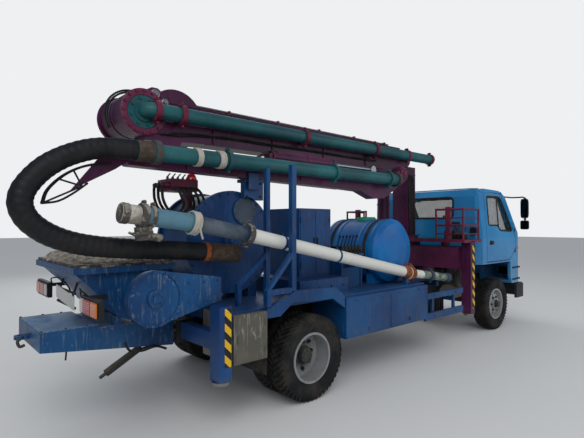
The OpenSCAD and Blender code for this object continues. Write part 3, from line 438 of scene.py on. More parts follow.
def hose_rubber(name):
    """Wrapped rubber hose: fine spiral ridges, cement film and scuffs."""
    f = Finish(name)
    grain = f.noise(70, 6.0, 0.7)
    film = f.noise(5, 8.0, 0.65).step(0.42, 0.66)
    scuff = f.noise(26, 8.0, 0.7, f.stretched(0.4, 1.5, 1.5)).step(0.6, 0.7)
    base = f.mix(film * 0.45, rgb("#0f1012"), rgb("#2f2b29"))
    f.colour(f.mix(scuff * 0.35, base, rgb("#57534f")))
    f.rough(grain * 0.2 + film * 0.15 + 0.46)
    f.bump(grain + film * 0.3, 0.35, 0.0012)
    return f.material


FINISHES = {}


def finish(name):
    """Makes each finish once, when it is first asked for."""
    if name not in FINISHES:
        FINISHES[name] = RECIPES[name](name)
    return FINISHES[name]


RECIPES = {
    "deck_blue": lambda n: painted(n, paint().deck, paint().deck_faded, wear=0.7, dust=0.22),
    "step_blue": lambda n: painted(n, "#003562", "#0a4d80", under="#7f8a8e", wear=0.95, dust=0.3),
    "hopper_blue": lambda n: painted(n, "#003464", "#0a4c7e", under="#75828a", wear=1.0, dust=0.35),
    "drum_blue": lambda n: painted(n, "#002c5a", "#004076", wear=0.5, dust=0.2),
    "drum_grey": lambda n: painted(
        n, "#2b3a4b", "#414f60", under="#4c3a2b", wear=0.9, dust=0.3, rough=0.55),
    "boom_plum": lambda n: painted(
        n, paint().boom, paint().boom_faded, under="#6d4c48", wear=0.6, dust=0.15),
    # Lighter copy of the boom plum on rings, caps, saddles and brackets: painted highlight where they catch
    # the sun
    "boom_plum_highlight": lambda n: painted(n, "#5a1638", "#6f2549", wear=0.6, dust=0.12),
    "platform_red": lambda n: painted(n, paint().platform, paint().platform_faded, wear=0.7, dust=0.15),
    "pipe_teal": lambda n: painted(
        n, paint().pipe, paint().pipe_faded, under="#4e3d2f", wear=1.0, dust=0.25),
    "chassis_black": lambda n: painted(
        n, "#101113", "#1c1e20", under="#4a3c30", wear=0.7, dust=0.45, rough=0.6),
    "guard_grey": lambda n: painted(n, "#27415a", "#3e586d", wear=0.8, dust=0.3),
    "box_grey": lambda n: painted(
        n, "#55534a", "#77746a", under="#9a968a", wear=1.1, dust=0.35, rough=0.5, scale=0.8),
    "bumper_grey": lambda n: painted(n, "#1b1e21", "#292d30", wear=0.3, dust=0.3, rough=0.55),
    "barrel_blue": lambda n: painted(
        n, paint().barrel, paint().barrel_faded, under="#0a4272", wear=0.2, dust=0.14, rough=0.36),
    "rim_silver": lambda n: painted(
        n, "#83868a", "#9fa1a1", under="#5c412d", wear=0.8, dust=0.3, rough=0.45),
    "hub_dark": lambda n: painted(
        n, "#2d2f30", "#46484a", under="#4c3a2b", wear=0.9, dust=0.4, rough=0.6),
    "cab_paint": cab_paint,
    "outrigger_paint": outrigger_paint,
    "delivery_paint": delivery_paint,
    "caked_steel": lambda n: caked(n, "#3f4347"),
    "steel": lambda n: bare_steel(n, "#8f8f8c", rust=0.4, rough=0.38),
    "chrome": lambda n: bare_steel(n, "#8f9192"),
    "mirror": lambda n: bare_steel(n, "#26282a", rough=0.12),
    "sleeve_brown": lambda n: rusty(n, "#5a4a3b", "#3a3029"),
    "clamp_orange": lambda n: rusty(n, "#a85a2c", "#5a3522"),
    "engine_grey": lambda n: rusty(n, "#5b5854", "#2c2a28"),
    "rag_white": lambda n: rubber(n, "#b7b3a8", dust=0.5, rough=0.9),
    "hydraulic": lambda n: rubber(n, "#121213", dust=0.18, rough=0.5),
    "tyre": lambda n: rubber(n, "#131314", dust=0.18),
    "black_rubber": lambda n: rubber(n, "#191817", dust=0.3, rough=0.7),
    "seat_cloth": lambda n: rubber(n, "#2d3038", dust=0.15, rough=0.9),
    "hose": hose_rubber,
    "black_plastic": lambda n: plastic(n, "#141516", 0.45, 0.25),
    "grey_plastic": lambda n: plastic(n, "#3c3f42", 0.55, 0.3),
    "lid_green": lambda n: plastic(n, "#1f9a63", 0.4),
    "plate_white": lambda n: plastic(n, "#cfcfc8", 0.5, 0.5),
    "red_lens": lambda n: lens(n, "#b01c12"),
    "amber_lens": lambda n: lens(n, "#d9730d"),
    "white_lens": lambda n: lens(n, "#c9c2bc"),
    "glass": clear_glass,
    "stripes": striped,
    "chequer": chequer,
    "concrete": concrete,
}

# The solids that stay, by the finish that covers them
COVERS = {
    "chassis_black": "frame axles knuckle_left knuckle_right",
    "engine_grey": "engine",
    "deck_blue": "deck rack",
    "step_blue": "rear_step",
    "hopper_blue": "hopper",
    "black_plastic": "lamps",
    "drum_blue": "pump_drum control_cabinet",
    "delivery_paint": "delivery_pipe",
    "platform_red": "valve_block platform",
    "amber_lens": "beacon",
    "barrel_blue": "water_barrel",
    "outrigger_paint": "outrigger_housings",
    "boom_plum": "mast boom_1 boom_2 boom_3 luff_cylinder beam_left beam_right boom_3_root hose_guide",
    "bumper_grey": "bumper",
    "box_grey": "side_tanks",
    "cab_paint": "cab_shell door_left door_right",
    "glass": "cab_glass door_glass_left door_glass_right",
    "seat_cloth": "cab_interior",
    "rim_silver": "front_rim_left front_rim_right rear_rims_left rear_rims_right",
    "pipe_teal": "pipe_2 pipe_3",
    "chrome": "luff_rod fold_rod",
    "steel": "jack_front_left jack_front_right jack_rear_left jack_rear_right",
    "caked_steel": "hopper_grate",
}


# Mesh building


class Shape:
    """Mesh made from a maker's stock: plates, bars, tubes, turned parts and bolts."""

    def __init__(self):
        self.mesh = bmesh.new()

    def faces_between(self, rings, closed=True):
        for a, b in zip(rings, rings[1:]):
            n = len(a)
            for i in range(n if closed else n - 1):
                j = (i + 1) % n
                self.mesh.faces.new((a[i], a[j], b[j], b[i]))

    def ring(self, points):
        return [self.mesh.verts.new(p) for p in points]

    def skin(self, rings):
        """Closes a row of rings into a solid with a face at each end."""
        self.faces_between(rings)
        self.mesh.faces.new(list(reversed(rings[0])))
        self.mesh.faces.new(rings[-1])
        return self

    def block(self, low, high, edge=0.0):
        """Plate or box with its edges broken by a small chamfer."""
        low, high = Vector(low), Vector(high)
        made = bmesh.ops.create_cube(self.mesh, size=1.0)["verts"]
        middle, size = (low + high) / 2, high - low
        for v in made:
            v.co = Vector((v.co.x * size.x, v.co.y * size.y, v.co.z * size.z)) + middle
        if edge:
            edges = list({e for v in made for e in v.link_edges})
            bmesh.ops.bevel(self.mesh, geom=edges, offset=min(edge, min(size) * 0.3), segments=2,
                            affect="EDGES")

    def sweep(self, path, radius, sides=12):
        """Tube along a path; radius is one number or one for each point."""
        path = [Vector(p) for p in path]
        radii = radius if isinstance(radius, (list, tuple)) else [radius] * len(path)
        ahead = [(path[min(i + 1, len(path) - 1)] - path[max(i - 1, 0)]).normalized()
                 for i in range(len(path))]
        side = ahead[0].orthogonal().normalized()
        rings = []
        for p, direction, r in zip(path, ahead, radii):
            side = (side - direction * side.dot(direction)).normalized()
            other = direction.cross(side)
            rings.append(self.ring([p + (side * cos(t) + other * sin(t)) * r
                                    for t in (2 * pi * k / sides for k in range(sides))]))
        return self.skin(rings)

    def bar(self, start, end, radius, sides=16):
        return self.sweep([start, end], radius, sides)

    def bent_tube(self, points, steps, radius, sides=8):
        """Tube that curves through points."""
        return self.sweep(smooth_path(points, steps), radius, sides)

    def turned(self, profile, centre, axis, steps=48):
        """Solid or ring turned about an axis; profile holds (radius, along) pairs."""
        axis, centre = Vector(axis).normalized(), Vector(centre)
        side = axis.orthogonal().normalized()
        other = axis.cross(side)
        rings = []
        for k in range(steps):
            t = 2 * pi * k / steps
            out = side * cos(t) + other * sin(t)
            rings.append([centre + out * max(r, 0.0004) + axis * a for r, a in profile])
        rows = [self.ring(points) for points in rings]
        self.faces_between(rows + [rows[0]], closed=False)
        return self

    def cap(self, profile, centre, axis, steps=48):
        """Turned part that is solid to its axis, with flat ends."""
        return self.turned([(0.0, profile[0][1])] + profile + [(0.0, profile[-1][1])], centre, axis, steps)

    def hoop(self, profile, centre, axis, steps=48):
        """Turned part whose profile closes on itself."""
        return self.turned(profile + profile[:1], centre, axis, steps)

    def plate(self, outline, normal_axis, low, high):
        """Flat outline drawn in the other two axes, extruded from low to high along an axis."""
        def place(pair, depth):
            values = list(pair)
            values.insert(normal_axis, depth)
            return Vector(values)
        self.skin([self.ring([place(p, d) for p in outline]) for d in (low, high)])

    def bolt(self, place, direction, size=0.018, height=0.012):
        """Hexagon head on a washer."""
        place, direction = Vector(place), Vector(direction).normalized()
        self.sweep([place, place + direction * height * 0.25], size * 1.25, 12)
        self.sweep([place + direction * height * 0.25, place + direction * height], size, 6)

    def bolts(self, places, direction, size=0.018, height=0.012):
        for p in places:
            self.bolt(p, direction, size, height)

    def bolt_circle(self, count, radius, centre, direction, size, height, start=0.0):
        """Bolts round a circle that faces the way they point."""
        plane = END_ON if direction.x else SIDE_ON
        self.bolts(spread(count, radius, centre, plane, start), direction, size, height)

    def coupling(self, place, direction, inner, width, lip):
        """Two-piece pipe clamp: a rounded ring and two ears, each with its bolt."""
        place, direction = Vector(place), Vector(direction).normalized()
        half = width / 2
        outer = inner + lip
        self.hoop([(inner, -half), (outer - 0.004, -half), (outer, 0.004 - half), (outer, half - 0.004),
                   (outer - 0.004, half), (inner, half)], place, direction, 44)
        out = (UP - direction * UP.dot(direction)).normalized()
        across = direction.cross(out)
        for sign in (-1, 1):
            middle = place + out * sign * (outer + 0.009)
            self.sweep([middle - across * 0.016, middle + across * 0.016], 0.0155, 8)
            self.sweep([middle - across * 0.031, middle - across * 0.016], 0.0105, 6)
            self.sweep([middle + across * 0.016, middle + across * 0.027], 0.0105, 6)

    def both(self):
        """Adds the mirror image on the other side of the machine."""
        made = bmesh.ops.duplicate(self.mesh, geom=list(self.mesh.verts) + list(self.mesh.edges)
                                   + list(self.mesh.faces))["geom"]
        for v in (g for g in made if isinstance(g, bmesh.types.BMVert)):
            v.co.y = -v.co.y
        bmesh.ops.reverse_faces(self.mesh, faces=[g for g in made if isinstance(g, bmesh.types.BMFace)])
        return self

    def piece(self, name, body, slot, finish_name, replaces=(), angle=38, mirrored=False):
        """Moves the shape into the frame and makes it a piece that rides on a body."""
        bmesh.ops.recalc_face_normals(self.mesh, faces=self.mesh.faces)
        for v in self.mesh.verts:
            v.co.x += REAR_AXLE
        if mirrored:
            for v in self.mesh.verts:
                v.co.y = -v.co.y
            bmesh.ops.reverse_faces(self.mesh, faces=self.mesh.faces)
        data = bpy.data.meshes.new(name)
        self.mesh.to_mesh(data)
        self.mesh.free()
        data.polygons.foreach_set("use_smooth", [True] * len(data.polygons))
        data.set_sharp_from_angle(angle=radians(angle))
        made = bpy.data.objects.new(name, data)
        bpy.context.scene.collection.objects.link(made)
        data.materials.append(finish(finish_name))
        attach(made, body)
        if replaces:
            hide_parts(*replaces)
        return made


def spread(count, radius, centre, plane, start=0.0):
    """Places round a circle; plane holds the two axes it lies in."""
    first, second = Vector(plane[0]), Vector(plane[1])
    return [Vector(centre) + first * radius * cos(t) + second * radius * sin(t)
            for t in (start + 2 * pi * k / count for k in range(count))]


def smooth_path(points, steps=6):
    """Catmull-Rom curve through the points."""
    points = [Vector(p) for p in points]
    ends = [points[0] * 2 - points[1]] + points + [points[-1] * 2 - points[-2]]
    out = []
    for i in range(1, len(ends) - 2):
        p0, p1, p2, p3 = ends[i - 1:i + 3]
        for k in range(steps):
            t = k / steps
            out.append(0.5 * ((2 * p1) + (p2 - p0) * t + (2 * p0 - 5 * p1 + 4 * p2 - p3) * t * t
                              + (3 * p1 - p0 - 3 * p2 + p3) * t * t * t))
    return out + [points[-1]]


# Settings that a user would change


def colour_setting(label, description, default):
    """Colour that the panel shows; its default is linear or an sRGB hex code."""
    return bpy.props.FloatVectorProperty(name=label, description=description, subtype="COLOR",
                                         min=0.0, max=1.0, default=rgb(default)[:3])


class StageSettings(bpy.types.PropertyGroup):
    camera_place: bpy.props.FloatVectorProperty(
        name="Camera place", description="Where the camera stands", subtype="TRANSLATION",
        default=(-4.367, -4.055, 1.650))
    heading: bpy.props.FloatProperty(
        name="Heading", description="Turn of the view from forward towards the left",
        subtype="ANGLE", default=0.8429)
    tilt: bpy.props.FloatProperty(
        name="Tilt", description="Upward tilt of the view", subtype="ANGLE", default=0.0127)
    focal_length: bpy.props.FloatProperty(
        name="Focal length", description="Lens for a 36 mm wide sensor, in millimetres", default=27.44)
    floor_colour: colour_setting("Floor", "Colour of the floor", (0.78, 0.78, 0.77))


class PaintSettings(bpy.types.PropertyGroup):
    deck: colour_setting("Deck", "Fresh paint of the deck", "#003466")
    deck_faded: colour_setting("Deck, faded", "Faded patches on the deck", "#054a7e")
    boom: colour_setting("Boom", "Fresh paint of the boom and mast", "#3c0e30")
    boom_faded: colour_setting("Boom, faded", "Faded patches on the boom and mast", "#521a46")
    platform: colour_setting("Platform", "Fresh paint of the platforms beside the mast", "#560f2d")
    platform_faded: colour_setting("Platform, faded", "Faded patches on the platforms", "#73203f")
    pipe: colour_setting("Boom pipe", "Fresh paint of the pipe on the boom", "#10474e")
    pipe_faded: colour_setting("Boom pipe, faded", "Faded patches on the boom pipe", "#1e6468")
    barrel: colour_setting("Barrel", "Fresh paint of the water barrel", "#005a9e")
    barrel_faded: colour_setting("Barrel, faded", "Faded patches on the barrel", "#0072b8")
    cab: colour_setting("Cab", "Fresh paint of the cab", "#1a78b2")
    cab_faded: colour_setting("Cab, faded", "Faded patches on the cab", "#2c8cc4")


class TyreSettings(bpy.types.PropertyGroup):
    tread_depth: bpy.props.FloatProperty(
        name="Tread depth", description="Depth of the grooves between the blocks",
        unit="LENGTH", default=0.014)
    tread_pitches: bpy.props.IntProperty(
        name="Tread pitches", description="Blocks round a tyre", default=46)


class HoseSettings(bpy.types.PropertyGroup):
    hose_radius: bpy.props.FloatProperty(
        name="Hose radius", description="Outer radius of the end hose", unit="LENGTH", default=0.0815)


SETTINGS = {"pump_stage": StageSettings, "pump_paint": PaintSettings, "pump_tyres": TyreSettings,
            "pump_hose": HoseSettings}


# Stage


class PUMP_OT_stage(bpy.types.Operator):
    """Camera, lamps, floor and world"""
    bl_idname = "pump.stage"
    bl_label = "Stage"

    def execute(self, context):
        s = context.scene.pump_stage
        scene = context.scene
        scene.view_settings.view_transform = "Standard"
        camera = bpy.data.objects.new("view_camera", bpy.data.cameras.new("view_camera"))
        scene.collection.objects.link(camera)
        camera.data.sensor_width = 36.0
        camera.data.lens = s.focal_length
        camera.data.clip_end = 200
        camera.location = s.camera_place
        ahead = Vector((cos(s.heading) * cos(s.tilt), sin(s.heading) * cos(s.tilt), sin(s.tilt)))
        camera.rotation_euler = ahead.to_track_quat("-Z", "Y").to_euler()
        scene.camera = camera
        self.lamp(scene, "key_lamp", (-6.5, -7.5, 7.5), 7.0, 400)
        self.lamp(scene, "fill_lamp", (6.0, -8.0, 4.5), 6.0, 130)
        self.lamp(scene, "back_lamp", (2.0, 8.5, 6.5), 7.0, 200)
        self.floor(scene, rgb(s.floor_colour))
        self.world(scene)
        return {"FINISHED"}

    @staticmethod
    def lamp(scene, name, place, size, power):
        data = bpy.data.lights.new(name, "AREA")
        data.size = size
        data.energy = power
        lamp = bpy.data.objects.new(name, data)
        lamp.location = place
        lamp.rotation_euler = (Vector((0, 0, 1.0)) - Vector(place)).to_track_quat("-Z", "Y").to_euler()
        scene.collection.objects.link(lamp)

    @staticmethod
    def floor(scene, colour):
        mesh = bpy.data.meshes.new("floor")
        half = 60.0
        mesh.from_pydata([(-half, -half, 0), (half, -half, 0), (half, half, 0), (-half, half, 0)], [],
                         [(0, 1, 2, 3)])
        floor = bpy.data.objects.new("floor", mesh)
        scene.collection.objects.link(floor)
        f = Finish("floor", roughness=0.9)
        f.colour(f.mix(f.noise(0.8, 6.0) * 0.12, colour, tuple(c * 0.8 for c in colour[:3]) + (1.0,)))
        mesh.materials.append(f.material)

    @staticmethod
    def world(scene):
        world = bpy.data.worlds.new("sky")
        scene.world = world
        world.use_nodes = True
        tree = world.node_tree
        tree.nodes.clear()
        path = add_node(tree, "ShaderNodeLightPath")
        glossy = Value(tree, path.outputs["Is Glossy Ray"])
        through = Value(tree, path.outputs["Is Transmission Ray"])
        seen = Value(tree, path.outputs["Is Camera Ray"]).most(through)
        # Soft light on all, a bluer sky in reflections, a pale backdrop in view
        result = None
        for colour, strength, choice in (((0.86, 0.90, 0.95), 0.50, None),
                                         ((0.52, 0.72, 1.00), 0.34, glossy),
                                         ((0.86, 0.87, 0.88), 1.00, seen)):
            light = add_node(tree, "ShaderNodeBackground", None,
                             {"Color": colour + (1,), "Strength": strength})
            if result is None:
                result = light.outputs[0]
                continue
            mixed = add_node(tree, "ShaderNodeMixShader", None, {0: choice, 1: result, 2: light.outputs[0]})
            result = mixed.outputs[0]
        add_node(tree, "ShaderNodeOutputWorld", None, {"Surface": result})


class PUMP_OT_finishes(bpy.types.Operator):
    """Finish of every CAD piece that stays"""
    bl_idname = "pump.finishes"
    bl_label = "Finishes"

    def execute(self, context):
        for item, names in COVERS.items():
            for name in names.split():
                data = NODES[name].data
                data.materials.clear()
                data.materials.append(finish(item))
        return {"FINISHED"}


# Wheels

class PUMP_OT_tyres(bpy.types.Operator):
    """Off-road tyres with their tread blocks"""
    bl_idname = "pump.tyres"
    bl_label = "Tyres"

    def execute(self, context):
        s = context.scene.pump_tyres
        for side, sign in SIDES:
            front = Shape()
            self.tyre(front, (FRONT_AXLE, FRONT_TYRE_Y, WHEEL_Z), s)
            front.piece(f"front_tyre_{side}_tread", f"front_wheel_{side}", "tyre", "tyre",
                        [f"front_tyre_{side}"], mirrored=sign < 0)
            rear = Shape()
            for y in (REAR_TYRE_Y, REAR_TYRE_Y - TWIN_PITCH):
                self.tyre(rear, (0, y, WHEEL_Z), s)
            rear.piece(f"rear_tyres_{side}_tread", f"rear_wheels_{side}", "tyre", "tyre",
                       [f"rear_tyres_{side}"], mirrored=sign < 0)
        return {"FINISHED"}

    @staticmethod
    def tyre(shape, centre, s):
        """Carcass turned from its profile, with rows of blocks round it."""
        centre = Vector(centre)
        floor_r = TYRE_R - s.tread_depth
        # Half of the profile from bead to tread, as radius and distance from the middle
        flank = [(0.2225, -0.084), (0.237, -0.084), (0.244, -0.092), (0.252, -0.0935), (0.262, -0.099),
                 (0.285, -0.107), (0.312, -TYRE_HALF_W), (0.338, -0.1115), (0.360, -0.105),
                 (0.374, -0.098), (floor_r - 0.004, -0.086), (floor_r, -0.07)]
        shape.hoop(flank + [(radius, -y) for radius, y in reversed(flank)], centre, LEFT, 96)
        pitch = 2 * pi / s.tread_pitches
        # Block rows: place across the tread, half width, share of the pitch, offset in pitches
        # and how far the outer edge drops
        rows = [(-0.083, 0.0215, 0.62, 0.0, 0.012), (-0.034, 0.022, 0.66, 0.5, 0.0),
                (0.014, 0.021, 0.62, 0.15, 0.0), (0.062, 0.021, 0.66, 0.6, 0.0),
                (0.092, 0.0125, 0.5, 0.1, 0.013)]
        for k in range(s.tread_pitches):
            for middle, half, share, offset, drop in rows:
                start = (k + offset) * pitch
                slant = 0.25 * pitch * (1 if middle < 0 else -1)
                low = []
                top = []
                for y, turn, ends in ((middle - half, -slant, (0, share)),
                                      (middle + half, slant, (share, 0))):
                    # Blocks start under the floor of the grooves, deeper where it falls away at the edge
                    outer = abs(y) > abs(middle) and drop > 0
                    root_r = floor_r - (0.02 if outer else 0.002)
                    top_r = TYRE_R - (drop if outer else 0.0)
                    for end in ends:
                        t = start + turn + end * pitch
                        low.append(centre + Vector((cos(t) * root_r, y, sin(t) * root_r)))
                        top.append(centre + Vector((cos(t) * top_r, y, sin(t) * top_r)))
                shape.skin([shape.ring(low), shape.ring(top)])


class PUMP_OT_wheel_fittings(bpy.types.Operator):
    """Hub caps and wheel nuts"""
    bl_idname = "pump.wheel_fittings"
    bl_label = "Wheel fittings"

    def execute(self, context):
        for side, sign in SIDES:
            front = Shape()
            face = FRONT_TYRE_Y + 0.055
            hub = Vector((FRONT_AXLE, face + 0.035, WHEEL_Z))
            front.cap([(0.034, 0.052), (0.044, 0.044), (0.048, 0.0), (0.066, 0.0), (0.066, -0.008)], hub,
                      LEFT, 32)
            front.bolt_circle(6, 0.1115, (FRONT_AXLE, face + 0.005, WHEEL_Z), LEFT, 0.0155, 0.024)
            front.piece(f"front_hub_{side}", f"front_wheel_{side}", "rim_silver", "hub_dark",
                        mirrored=sign < 0)
            rear = Shape()
            middle = REAR_TYRE_Y - TWIN_PITCH / 2
            rear.cap([(0.062, 0.056), (0.07, 0.048), (0.074, 0.0), (0.095, -0.004), (0.095, -0.012)],
                     (0, middle + 0.092, WHEEL_Z), LEFT, 32)
            rear.bolt_circle(8, 0.052, (0, middle + 0.148, WHEEL_Z), LEFT, 0.007, 0.008)
            rear.bolt_circle(6, 0.116, (0, middle + 0.0115, WHEEL_Z), LEFT, 0.0165, 0.03)
            rear.piece(f"rear_hub_{side}", f"rear_wheels_{side}", "rim_silver", "hub_dark", mirrored=sign < 0)
        return {"FINISHED"}


# End hose

HOSE_ROUTE = [(-1.545, 2.225), (-1.640, 2.225), (-1.740, 2.222), (-1.850, 2.204), (-1.960, 2.168),
              (-2.070, 2.115), (-2.170, 2.045), (-2.250, 1.960), (-2.305, 1.870), (-2.318, 1.780),
              (-2.280, 1.690), (-2.200, 1.615), (-2.100, 1.560), (-1.980, 1.520), (-1.850, 1.494),
              (-1.700, 1.476), (-1.540, 1.462), (-1.370, 1.450), (-1.190, 1.437), (-1.000, 1.422),
              (-0.800, 1.404), (-0.600, 1.386)]


class PUMP_OT_end_hose(bpy.types.Operator):
    """End hose with its sleeves and band"""
    bl_idname = "pump.end_hose"
    bl_label = "End hose"

    def execute(self, context):
        radius = context.scene.pump_hose.hose_radius
        path = smooth_path([(x, PIPE_3_Y, z) for x, z in HOSE_ROUTE], 26)
        inset = 0.004
        radii = []
        run = 0.0
        for i, p in enumerate(path):
            run += (p - path[i - 1]).length if i else 0.0
            radii.append(radius - inset + 0.0012 * sin(run / 0.0080) + 0.0004 * sin(run / 0.047))
        Shape().sweep(path, radii, 40).piece("end_hose_rubber", "boom_3", "hose_rubber", "hose", ["end_hose"],
                                             angle=60)
        # Worn sleeve over the pipe's end that the hose is clamped on
        Shape().hoop([(0.0705, -0.062), (radius + 0.001, -0.062), (radius + 0.002, -0.055),
                      (radius + 0.002, 0.060), (0.0705, 0.060)], (-1.480, PIPE_3_Y, PIPE_3_Z), AHEAD,
                     44).piece("pipe_3_sleeve", "boom_3", "hose_rubber", "sleeve_brown")
        # Steel sleeve pressed on the open end, and the band in front of it
        sleeve = [p for p in path[-104:] if p.x > -0.907]
        Shape().sweep(sleeve, [radius + 0.0004 * sin(i * 1.7) for i in range(len(sleeve))], 40).piece(
            "end_hose_sleeve", "boom_3", "hose_rubber", "sleeve_brown", angle=60)
        band = [p for p in path[-104:] if -0.955 < p.x < -0.902]
        Shape().sweep(band, radius + 0.0006, 40).piece("end_hose_band", "boom_3", "hose_rubber",
            "clamp_orange", angle=60)
        return {"FINISHED"}


# Boom

ELBOW = (-1.310, 2.640)
KNEE = (2.200, 2.340)
LANE_1 = (0.0, 0.220)
LANE_2 = (-0.270, -0.030)
LANE_3 = (-0.570, -0.440)
PIPE_2 = (-0.350, 2.650)
FOOT = (3.100, 2.680)
PIPE_R = 0.070


class PUMP_OT_boom_pins(bpy.types.Operator):
    """Pins, drums and bolted rings of the boom's elbows and foot"""
    bl_idname = "pump.boom_pins"
    bl_label = "Boom pins"

    def execute(self, context):
        x, z = ELBOW
        ring = Shape()
        ring.hoop([(0.150, 0.0), (0.204, 0.0), (0.206, -0.004), (0.206, -0.018), (0.200, -0.022),
                   (0.150, -0.022)], (x, LANE_2[0], z), LEFT, 64)
        ring.bolt_circle(16, 0.186, (x, LANE_2[0] - 0.022, z), RIGHT, 0.0125, 0.012)
        ring.piece("elbow_ring", "boom_2", "boom_plum", "boom_plum_highlight")
        disc = Shape()
        disc.cap([(0.150, 0.0), (0.150, -0.012), (0.144, -0.018), (0.092, -0.022), (0.086, -0.034)],
                 (x, LANE_2[0], z), LEFT, 56)
        disc.bolt_circle(8, 0.120, (x, LANE_2[0] - 0.019, z), RIGHT, 0.012, 0.013, 0.3)
        disc.piece("elbow_disc", "boom_2", "pipe_teal", "pipe_teal")
        far_cap = Shape()
        far_cap.cap([(0.07, 0.0), (0.07, 0.016), (0.062, 0.024)], (x, LANE_1[1] + 0.030, z), LEFT, 40)
        far_cap.bolt_circle(14, 0.200, (x, LANE_1[1] + 0.030, z), LEFT, 0.013, 0.013)
        far_cap.piece("elbow_far_cap", "boom_1", "boom_plum", "boom_plum_highlight")
        # Peak pin and link pin of the elbow's lever plate
        peak = Shape()
        for px, pz, r in ((-1.080, 2.905, 0.030), (-0.980, 2.840, 0.024), (-1.330, 2.805, 0.022)):
            peak.cap([(r * 1.5, 0.0), (r * 1.5, -0.012), (r, -0.016), (r, -0.034), (r - 0.004, -0.038)],
                     (px, 0.0, pz), LEFT, 28)
        peak.piece("peak_pins", "boom_1", "boom_plum", "steel")
        knee = Shape()
        kx, kz = KNEE
        knee.cap([(0.078, 0.0), (0.078, -0.014), (0.070, -0.020), (0.034, -0.020), (0.034, -0.032)],
                 (kx, LANE_3[0], kz), LEFT, 40)
        knee.bolt_circle(6, 0.055, (kx, LANE_3[0] - 0.020, kz), RIGHT, 0.008, 0.009)
        knee.piece("knee_cap", "boom_3", "boom_plum", "boom_plum_highlight")
        foot = Shape()
        fx, fz = FOOT
        foot.cap([(0.062, 0.0), (0.062, -0.012), (0.054, -0.018)], (fx, LANE_1[0], fz), LEFT, 36)
        foot.bolt_circle(4, 0.045, (fx, LANE_1[0] - 0.016, fz), RIGHT, 0.007, 0.008, 0.4)
        foot.piece("foot_pin_cap", "boom_1", "boom_plum", "steel")
        return {"FINISHED"}


class PUMP_OT_boom_plates(bpy.types.Operator):
    """Flanges, stiffeners and brackets welded along the boom sections"""
    bl_idname = "pump.boom_plates"
    bl_label = "Boom plates"

    def execute(self, context):
        first = Shape()
        # Flange strips along the top and bottom edges of section 1
        first.plate([(-1.30, 2.842), (2.93, 2.832), (2.93, 2.842), (-1.30, 2.852)], 1, LANE_1[0] - 0.008,
                    LANE_1[1] + 0.008)
        first.plate([(-1.30, 2.488), (2.93, 2.494), (2.93, 2.500), (-1.30, 2.494)], 1, LANE_1[0] - 0.008,
                    LANE_1[1] + 0.008)
        for px in (-0.55, 0.55, 1.55, 2.50):
            first.block((px - 0.03, 0.07, 2.848), (px + 0.03, 0.13, 2.870), 0.004)
        first.piece("boom_1_flanges", "boom_1", "boom_plum", "boom_plum")
        second = Shape()
        for px in (-0.60, 0.15, 0.95, 1.75):
            second.block((px - 0.006, LANE_2[0] - 0.014, 2.44), (px + 0.006, LANE_2[0], 2.585), 0.002)
        second.block((-0.68, LANE_2[0] - 0.010, 2.578), (2.70, LANE_2[0] + 0.03, 2.594), 0.002)
        second.block((-0.68, LANE_2[0] - 0.010, 2.424), (2.20, LANE_2[0] + 0.03, 2.434), 0.002)
        second.piece("boom_2_flanges", "boom_2", "boom_plum", "boom_plum")
        third = Shape()
        outline = [(-1.545, 2.262), (0.985, 2.268), (0.985, 2.282), (-1.545, 2.276)]
        third.plate(outline, 1, LANE_3[0] - 0.006, LANE_3[1] + 0.006)
        outline = [(-1.545, 2.122), (0.985, 2.068), (0.985, 2.078), (-1.545, 2.132)]
        third.plate(outline, 1, LANE_3[0] - 0.006, LANE_3[1] + 0.006)
        for px in (-1.30, -1.05, -0.30, 0.30, 0.85):
            third.block((px - 0.005, LANE_3[0] - 0.010, 2.12), (px + 0.005, LANE_3[0], 2.262), 0.002)
        third.piece("boom_3_flanges", "boom_3", "boom_plum", "boom_plum")
        return {"FINISHED"}


